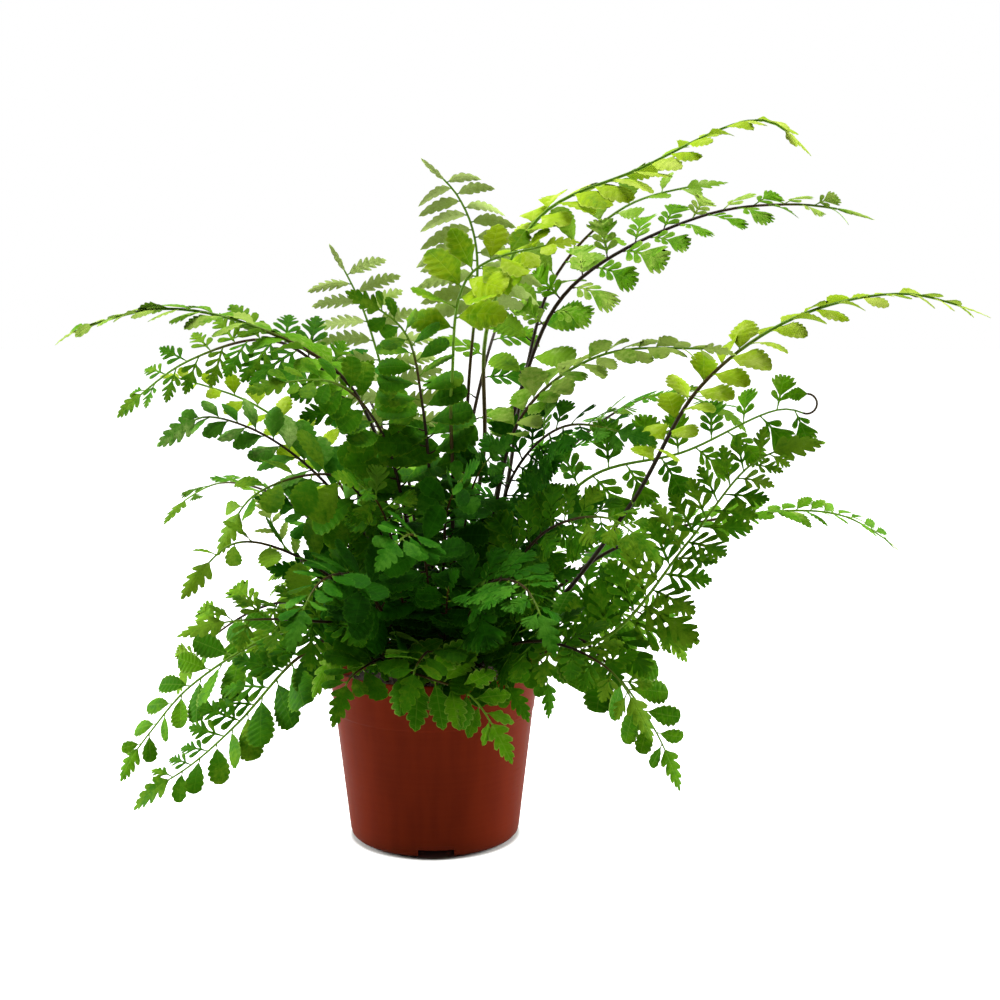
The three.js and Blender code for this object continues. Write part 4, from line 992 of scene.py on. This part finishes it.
def frond_piece(name, plan, draw):
    stalk = Stalk(plan)
    growth = Growth()
    add_stalk(growth, stalk, plan)
    count = round(plan["pairs"] * plan["crowding"])
    for i in range(count):
        add_leaflet(growth, stalk, plan, (i + 0.25) / count, 1, draw)
        add_leaflet(growth, stalk, plan, (i + 0.75) / count, -1, draw)
    curl = plan["curl"]
    root, along, up, side = add_curl(growth, stalk, curl) if curl else stalk.frame(stalk.end)
    # The end leaflet's lightness includes the painted shade of the heart of the plant.
    lightness = LIGHT_END + plan["paler"] + heart_painted_shade(root)
    add_blade(growth, root, along, side, up, stalk.end_size, plan["end_kind"], 1, 0.04, lightness, draw)
    mesh = growth.mesh(f"leafy_{name}")
    piece = piece_from(f"leafy_{name}", mesh, [LEAVES[plan["green"]], STALK])
    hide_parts(f"frond_{name}")


# Pot


def wall_radius(z):
    step = 0.5 - 0.5 * math.cos(math.pi * min(1, max(0, z - LEDGE_HEIGHT + LEDGE_RISE) / LEDGE_RISE))
    return BASE_RADIUS + (RIM_RADIUS - BASE_RADIUS) * z / POT_HEIGHT - LEDGE_STEP * (1 - step)


def rounded(radius, height, rounding, steps=8):
    turns = [math.pi / 2 * i / steps for i in range(steps + 1)]
    return [(radius - rounding + rounding * math.sin(t), height + rounding - rounding * math.cos(t))
        for t in turns]


def turned(name, profile, sides):
    """A closed mesh turned round Z; the first and the last point of the profile lie on the axis."""
    work = bmesh.new()
    turns = [2 * math.pi * i / sides for i in range(sides)]
    bottom = work.verts.new((0, 0, profile[0][1] * MM))
    top = work.verts.new((0, 0, profile[-1][1] * MM))
    rings = [[work.verts.new((r * MM * math.cos(t), r * MM * math.sin(t), z * MM)) for t in turns]
        for r, z in profile[1:-1]]
    for i in range(sides):
        after = (i + 1) % sides
        work.faces.new((bottom, rings[0][after], rings[0][i]))
        work.faces.new((top, rings[-1][i], rings[-1][after]))
        for low, high in zip(rings, rings[1:]):
            work.faces.new((low[i], low[after], high[after], high[i]))
    return mesh_from(work, name)


def channel_spot(number, radius):
    """The matrix that brings a mesh from the middle of the pot to this radius along a channel."""
    turn = Matrix.Rotation(math.radians(CHANNEL_TURN + number * 360 / CHANNELS), 4, "Z")
    return turn @ Matrix.Translation((radius * MM, 0, 0))


def channel_blocks(margin):
    """The channels under the floor as one mesh of four blocks."""
    work = bmesh.new()
    length = RIM_RADIUS - CHANNEL_START + margin
    size = (length * MM, (CHANNEL_WIDTH + 2 * margin) * MM, 2 * (CHANNEL_HEIGHT + margin) * MM)
    for i in range(CHANNELS):
        spot = channel_spot(i, CHANNEL_START - margin + length / 2)
        bmesh.ops.create_cube(work, size=1, matrix=spot @ Matrix.Diagonal((*size, 1)))
    return mesh_from(work, "channels")


def drain_cutters():
    work = bmesh.new()
    for i in range(CHANNELS):
        bmesh.ops.create_cone(work, cap_ends=True, segments=DRAIN_SIDES, radius1=DRAIN_RADIUS * MM,
            radius2=DRAIN_RADIUS * MM, depth=4 * CHANNEL_HEIGHT * MM, matrix=channel_spot(i, DRAIN_PLACE))
    return mesh_from(work, "drains")


def minus(mesh, cutter):
    """The first mesh with the second one cut out of it."""
    scene = bpy.context.scene.collection
    body = bpy.data.objects.new("body", mesh)
    tool = bpy.data.objects.new("tool", cutter)
    scene.objects.link(body)
    scene.objects.link(tool)
    cut = body.modifiers.new("cut", "BOOLEAN")
    cut.operation = "DIFFERENCE"
    cut.solver = "EXACT"
    cut.object = tool
    shown = body.evaluated_get(bpy.context.evaluated_depsgraph_get())
    result = bpy.data.meshes.new_from_object(shown)
    bpy.data.objects.remove(body)
    bpy.data.objects.remove(tool)
    return result


def pot_piece():
    outside = [(0, 0), *rounded(wall_radius(FOOT_ROUNDING), 0, FOOT_ROUNDING)]
    outside += [(wall_radius(z), z) for z in OUTSIDE_RINGS]
    lip = POT_HEIGHT - LIP_ROUNDING
    outer, inner = RIM_RADIUS - LIP_INSET, RIM_RADIUS - WALL
    for edge, way, turns in ((outer, 1, (0, 30, 60, 90)), (inner, -1, (60, 30, 0))):
        for turn in map(math.radians, turns):
            inset = LIP_ROUNDING * (math.cos(turn) - 1)
            outside.append((edge + way * inset, lip + LIP_ROUNDING * math.sin(turn)))
    outside += [(RIM_RADIUS - 2 * WALL, POT_HEIGHT - 2), (0, POT_HEIGHT - 2)]
    inside = [(0, FLOOR), *rounded(wall_radius(FOOT_ROUNDING) - WALL, FLOOR, FOOT_ROUNDING - WALL)]
    inside += [(wall_radius(z) - WALL, z) for z in INSIDE_RINGS]
    inside += [(RIM_RADIUS - WALL, POT_HEIGHT + 1), (0, POT_HEIGHT + 1)]
    cavity = minus(turned("cavity", inside, POT_SIDES), channel_blocks(WALL))
    mesh = minus(turned("pot", outside, POT_SIDES), cavity)
    mesh = minus(mesh, channel_blocks(0))
    mesh = minus(mesh, drain_cutters())
    mesh.name = "nursery_pot"
    smooth_but_sharp(mesh, 40)
    piece = piece_from("nursery_pot", mesh, [POT])
    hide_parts("pot")


# Soil and crown


def refined(node, low, cuts):
    """A copy of a node's mesh, its faces above a height cut finer."""
    work = bmesh.new()
    work.from_mesh(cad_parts[node].data)
    bmesh.ops.remove_doubles(work, verts=work.verts, dist=1e-6)
    top = [face for face in work.faces if face.calc_center_median().z > low * MM and face.normal.z > 0.3]
    edges = {edge for face in top for edge in face.edges}
    bmesh.ops.subdivide_edges(work, edges=list(edges), cuts=cuts, use_grid_fill=True)
    bmesh.ops.triangulate(work, faces=work.faces)
    return work


def soil_piece():
    work = refined("soil", SOIL_EDGE - 1, 7)
    for point in work.verts:
        radius = math.hypot(point.co.x, point.co.y) / MM
        if point.co.z > (SOIL_EDGE - 0.5) * MM and CROWN_RADIUS + 1 < radius < SOIL_RADIUS:
            coarse = noise.fractal(point.co * 160, 1.0, 2.0, 3)
            fine = noise.noise(point.co * 620)
            point.co.z += (0.9 * coarse + 0.5 * fine) * MM
    mesh = mesh_from(work, "peat_bed")
    smooth_but_sharp(mesh, 50)
    piece = piece_from("peat_bed", mesh, [PEAT])
    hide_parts("soil")


def soil_height(radius):
    radii = (SOIL_FLAT_RADIUS, SOIL_SLOPE_RADIUS, SOIL_RADIUS)
    return float(np.interp(radius, radii, (SOIL_MIDDLE, SOIL_EDGE + 2, SOIL_EDGE)))


def crumbs_piece(draw):
    """Loose lumps and bits of fibre that lie on the peat."""
    work = bmesh.new()
    for _ in range(CRUMBS):
        radius = math.sqrt(draw.uniform((CROWN_RADIUS + 1) ** 2, SOIL_RADIUS**2))
        x, y, z = polar(radius, draw.uniform(0, 360), soil_height(radius) + draw.uniform(-0.2, 0.7))
        size = draw.uniform(0.4, 1.3) * MM
        stretch = (size * draw.uniform(0.7, 2.2), size, size * draw.uniform(0.5, 0.9))
        turn = Matrix.Rotation(draw.uniform(0, 2 * math.pi), 4, "Z")
        tilt = Matrix.Rotation(draw.uniform(-0.5, 0.5), 4, "X")
        spot = Matrix.Translation((x * MM, y * MM, z * MM)) @ turn @ tilt @ Matrix.Diagonal((*stretch, 1))
        lump = bmesh.ops.create_icosphere(work, subdivisions=1, radius=1, matrix=spot)["verts"]
        for point in lump:
            point.co += Vector([draw.uniform(-0.2, 0.2) * size for _ in range(3)])
    mesh = mesh_from(work, "peat_crumbs")
    piece_from("peat_crumbs", mesh, [PEAT])


def crown_height(radius):
    return float(np.interp(radius, (0, CROWN_RADIUS - 3), (CROWN_TOP, CROWN_SHOULDER)))


def crown_piece():
    work = refined("crown", SOIL_EDGE, 3)
    for point in work.verts:
        radius = math.hypot(point.co.x, point.co.y) / MM
        if point.co.z > (crown_height(radius) - 0.3) * MM:
            point.co.z -= abs(noise.fractal(point.co * 300, 1.0, 2.0, 3)) * 0.9 * MM
    mesh = mesh_from(work, "crown_body")
    smooth_but_sharp(mesh, 50)
    piece = piece_from("crown_body", mesh, [ROOTSTOCK])
    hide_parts("crown")


def scales_piece(stalks, draw):
    """Narrow brown scales on the crown and round the feet of the stalks."""
    work = bmesh.new()

    def scale(root, direction, length, breadth):
        direction = Vector(direction).normalized()
        across = direction.cross(Vector((0.2, 0.3, 0.9))).normalized() * breadth
        lift = direction.cross(across).normalized() * 0.12
        root = Vector(root)
        corners = [root, root + direction * length * 0.35 + across, root + direction * length,
            root + direction * length * 0.35 - across, root + direction * length * 0.4 + lift,
            root + direction * length * 0.4 - lift]
        a, b, c, d, top, low = [work.verts.new(corner * MM) for corner in corners]
        for first, second in ((a, b), (b, c), (c, d), (d, a)):
            work.faces.new((first, second, top))
            work.faces.new((second, first, low))

    for _ in range(SCALES):
        radius = math.sqrt(draw.uniform(0, (CROWN_RADIUS - 2) ** 2))
        bearing = draw.uniform(0, 360)
        root = polar(radius, bearing, crown_height(radius) - 0.6)
        lean = Vector(polar(1, bearing + draw.uniform(-70, 70), draw.uniform(0.3, 1.6)))
        scale(root, lean, draw.uniform(2.5, 6), draw.uniform(0.25, 0.5))
    for stalk in stalks:
        for _ in range(SCALES_ON_A_STALK):
            share = draw.uniform(14, 40) / stalk.length
            along = stalk.along(share)
            out = unit(np.cross(along, (draw.uniform(-1, 1), draw.uniform(-1, 1), 0.2)))
            scale(stalk.at(share) + out * STALK_RADIUS * 0.9, along * 0.8 + out * 0.6,
                draw.uniform(2, 4), draw.uniform(0.2, 0.35))
    bmesh.ops.recalc_face_normals(work, faces=work.faces)
    mesh = mesh_from(work, "crown_scales")
    piece_from("crown_scales", mesh, [ROOTSTOCK])


# Studio


def studio():
    scene = bpy.context.scene
    scene.view_settings.view_transform = "Standard"
    lens = bpy.data.cameras.new("camera")
    lens.lens = FOCAL_LENGTH
    camera = bpy.data.objects.new("camera", lens)
    camera.location = CAMERA_PLACE
    camera.rotation_euler = (math.radians(90 - CAMERA_LOOKS_DOWN), 0, 0)
    scene.collection.objects.link(camera)
    scene.camera = camera

    floor = bpy.data.meshes.new("floor")
    corners = [(x * FLOOR_REACH, y * FLOOR_REACH, 0) for x, y in ((-1, -1), (1, -1), (1, 1), (-1, 1))]
    floor.from_pydata(corners, [], [(0, 1, 2, 3)])
    floor.materials.append(floor_material())
    floor = bpy.data.objects.new("floor", floor)
    floor.location.z = -FLOOR_DROP
    scene.collection.objects.link(floor)

    world = bpy.data.worlds.new("studio")
    world.use_nodes = True
    tree = world.node_tree
    surround = tree.nodes["Background"]
    surround.inputs["Color"].default_value = (1, 1, 1, 1)
    direction = tree.nodes.new("ShaderNodeSeparateXYZ")
    tree.links.new(tree.nodes.new("ShaderNodeTexCoord").outputs["Generated"], direction.inputs[0])
    backdrop = tree.nodes.new("ShaderNodeMapRange")
    for setting, value in (("From Min", -0.3), ("From Max", 0.7), ("To Min", 0.04), ("To Max", 0.85)):
        backdrop.inputs[setting].default_value = value
    tree.links.new(direction.outputs["Y"], backdrop.inputs["Value"])
    seen = tree.nodes.new("ShaderNodeLightPath").outputs["Is Camera Ray"]
    strength = tree.nodes.new("ShaderNodeMix")
    strength.inputs["B"].default_value = 1.0
    tree.links.new(seen, strength.inputs["Factor"])
    tree.links.new(backdrop.outputs["Result"], strength.inputs["A"])
    tree.links.new(strength.outputs["Result"], surround.inputs["Strength"])
    scene.world = world
    for name, (place, size, power) in SOFTBOXES.items():
        softbox(name, place, size, power)


def softbox(name, place, size, power):
    light = bpy.data.lights.new(name, "AREA")
    light.shape = "DISK"
    light.size = size
    light.energy = power
    box = bpy.data.objects.new(name, light)
    box.location = place
    aim = Vector((0, 0, 0.2)) - Vector(place)
    box.rotation_euler = aim.to_track_quat("-Z", "Y").to_euler()
    bpy.context.scene.collection.objects.link(box)


studio()

LEAVES = {
    "lime": leaf_material("leaf_lime", colour("5a8c04"), colour("8eac0e"), colour("b6c854")),
    "fresh": leaf_material("leaf_fresh", colour("326a02"), colour("568c08"), colour("98b24c")),
    "mid": leaf_material("leaf_mid", colour("1e4e04"), colour("366e06"), colour("6a921a")),
    "dark": leaf_material("leaf_dark", colour("123c02"), colour("225c06"), colour("467e1c")),
}
STALK = stalk_material()
POT = pot_material()
PEAT = peat_material()
ROOTSTOCK = rootstock_material()

pot_piece()
soil_piece()
crumbs_piece(random.Random(SEED))
crown_piece()
scales_piece([Stalk(plan) for plan in PLANS.values()], random.Random(SEED + 1))
for number, (name, plan) in enumerate(PLANS.items()):
    frond_piece(name, plan, random.Random(SEED + 2 + number))
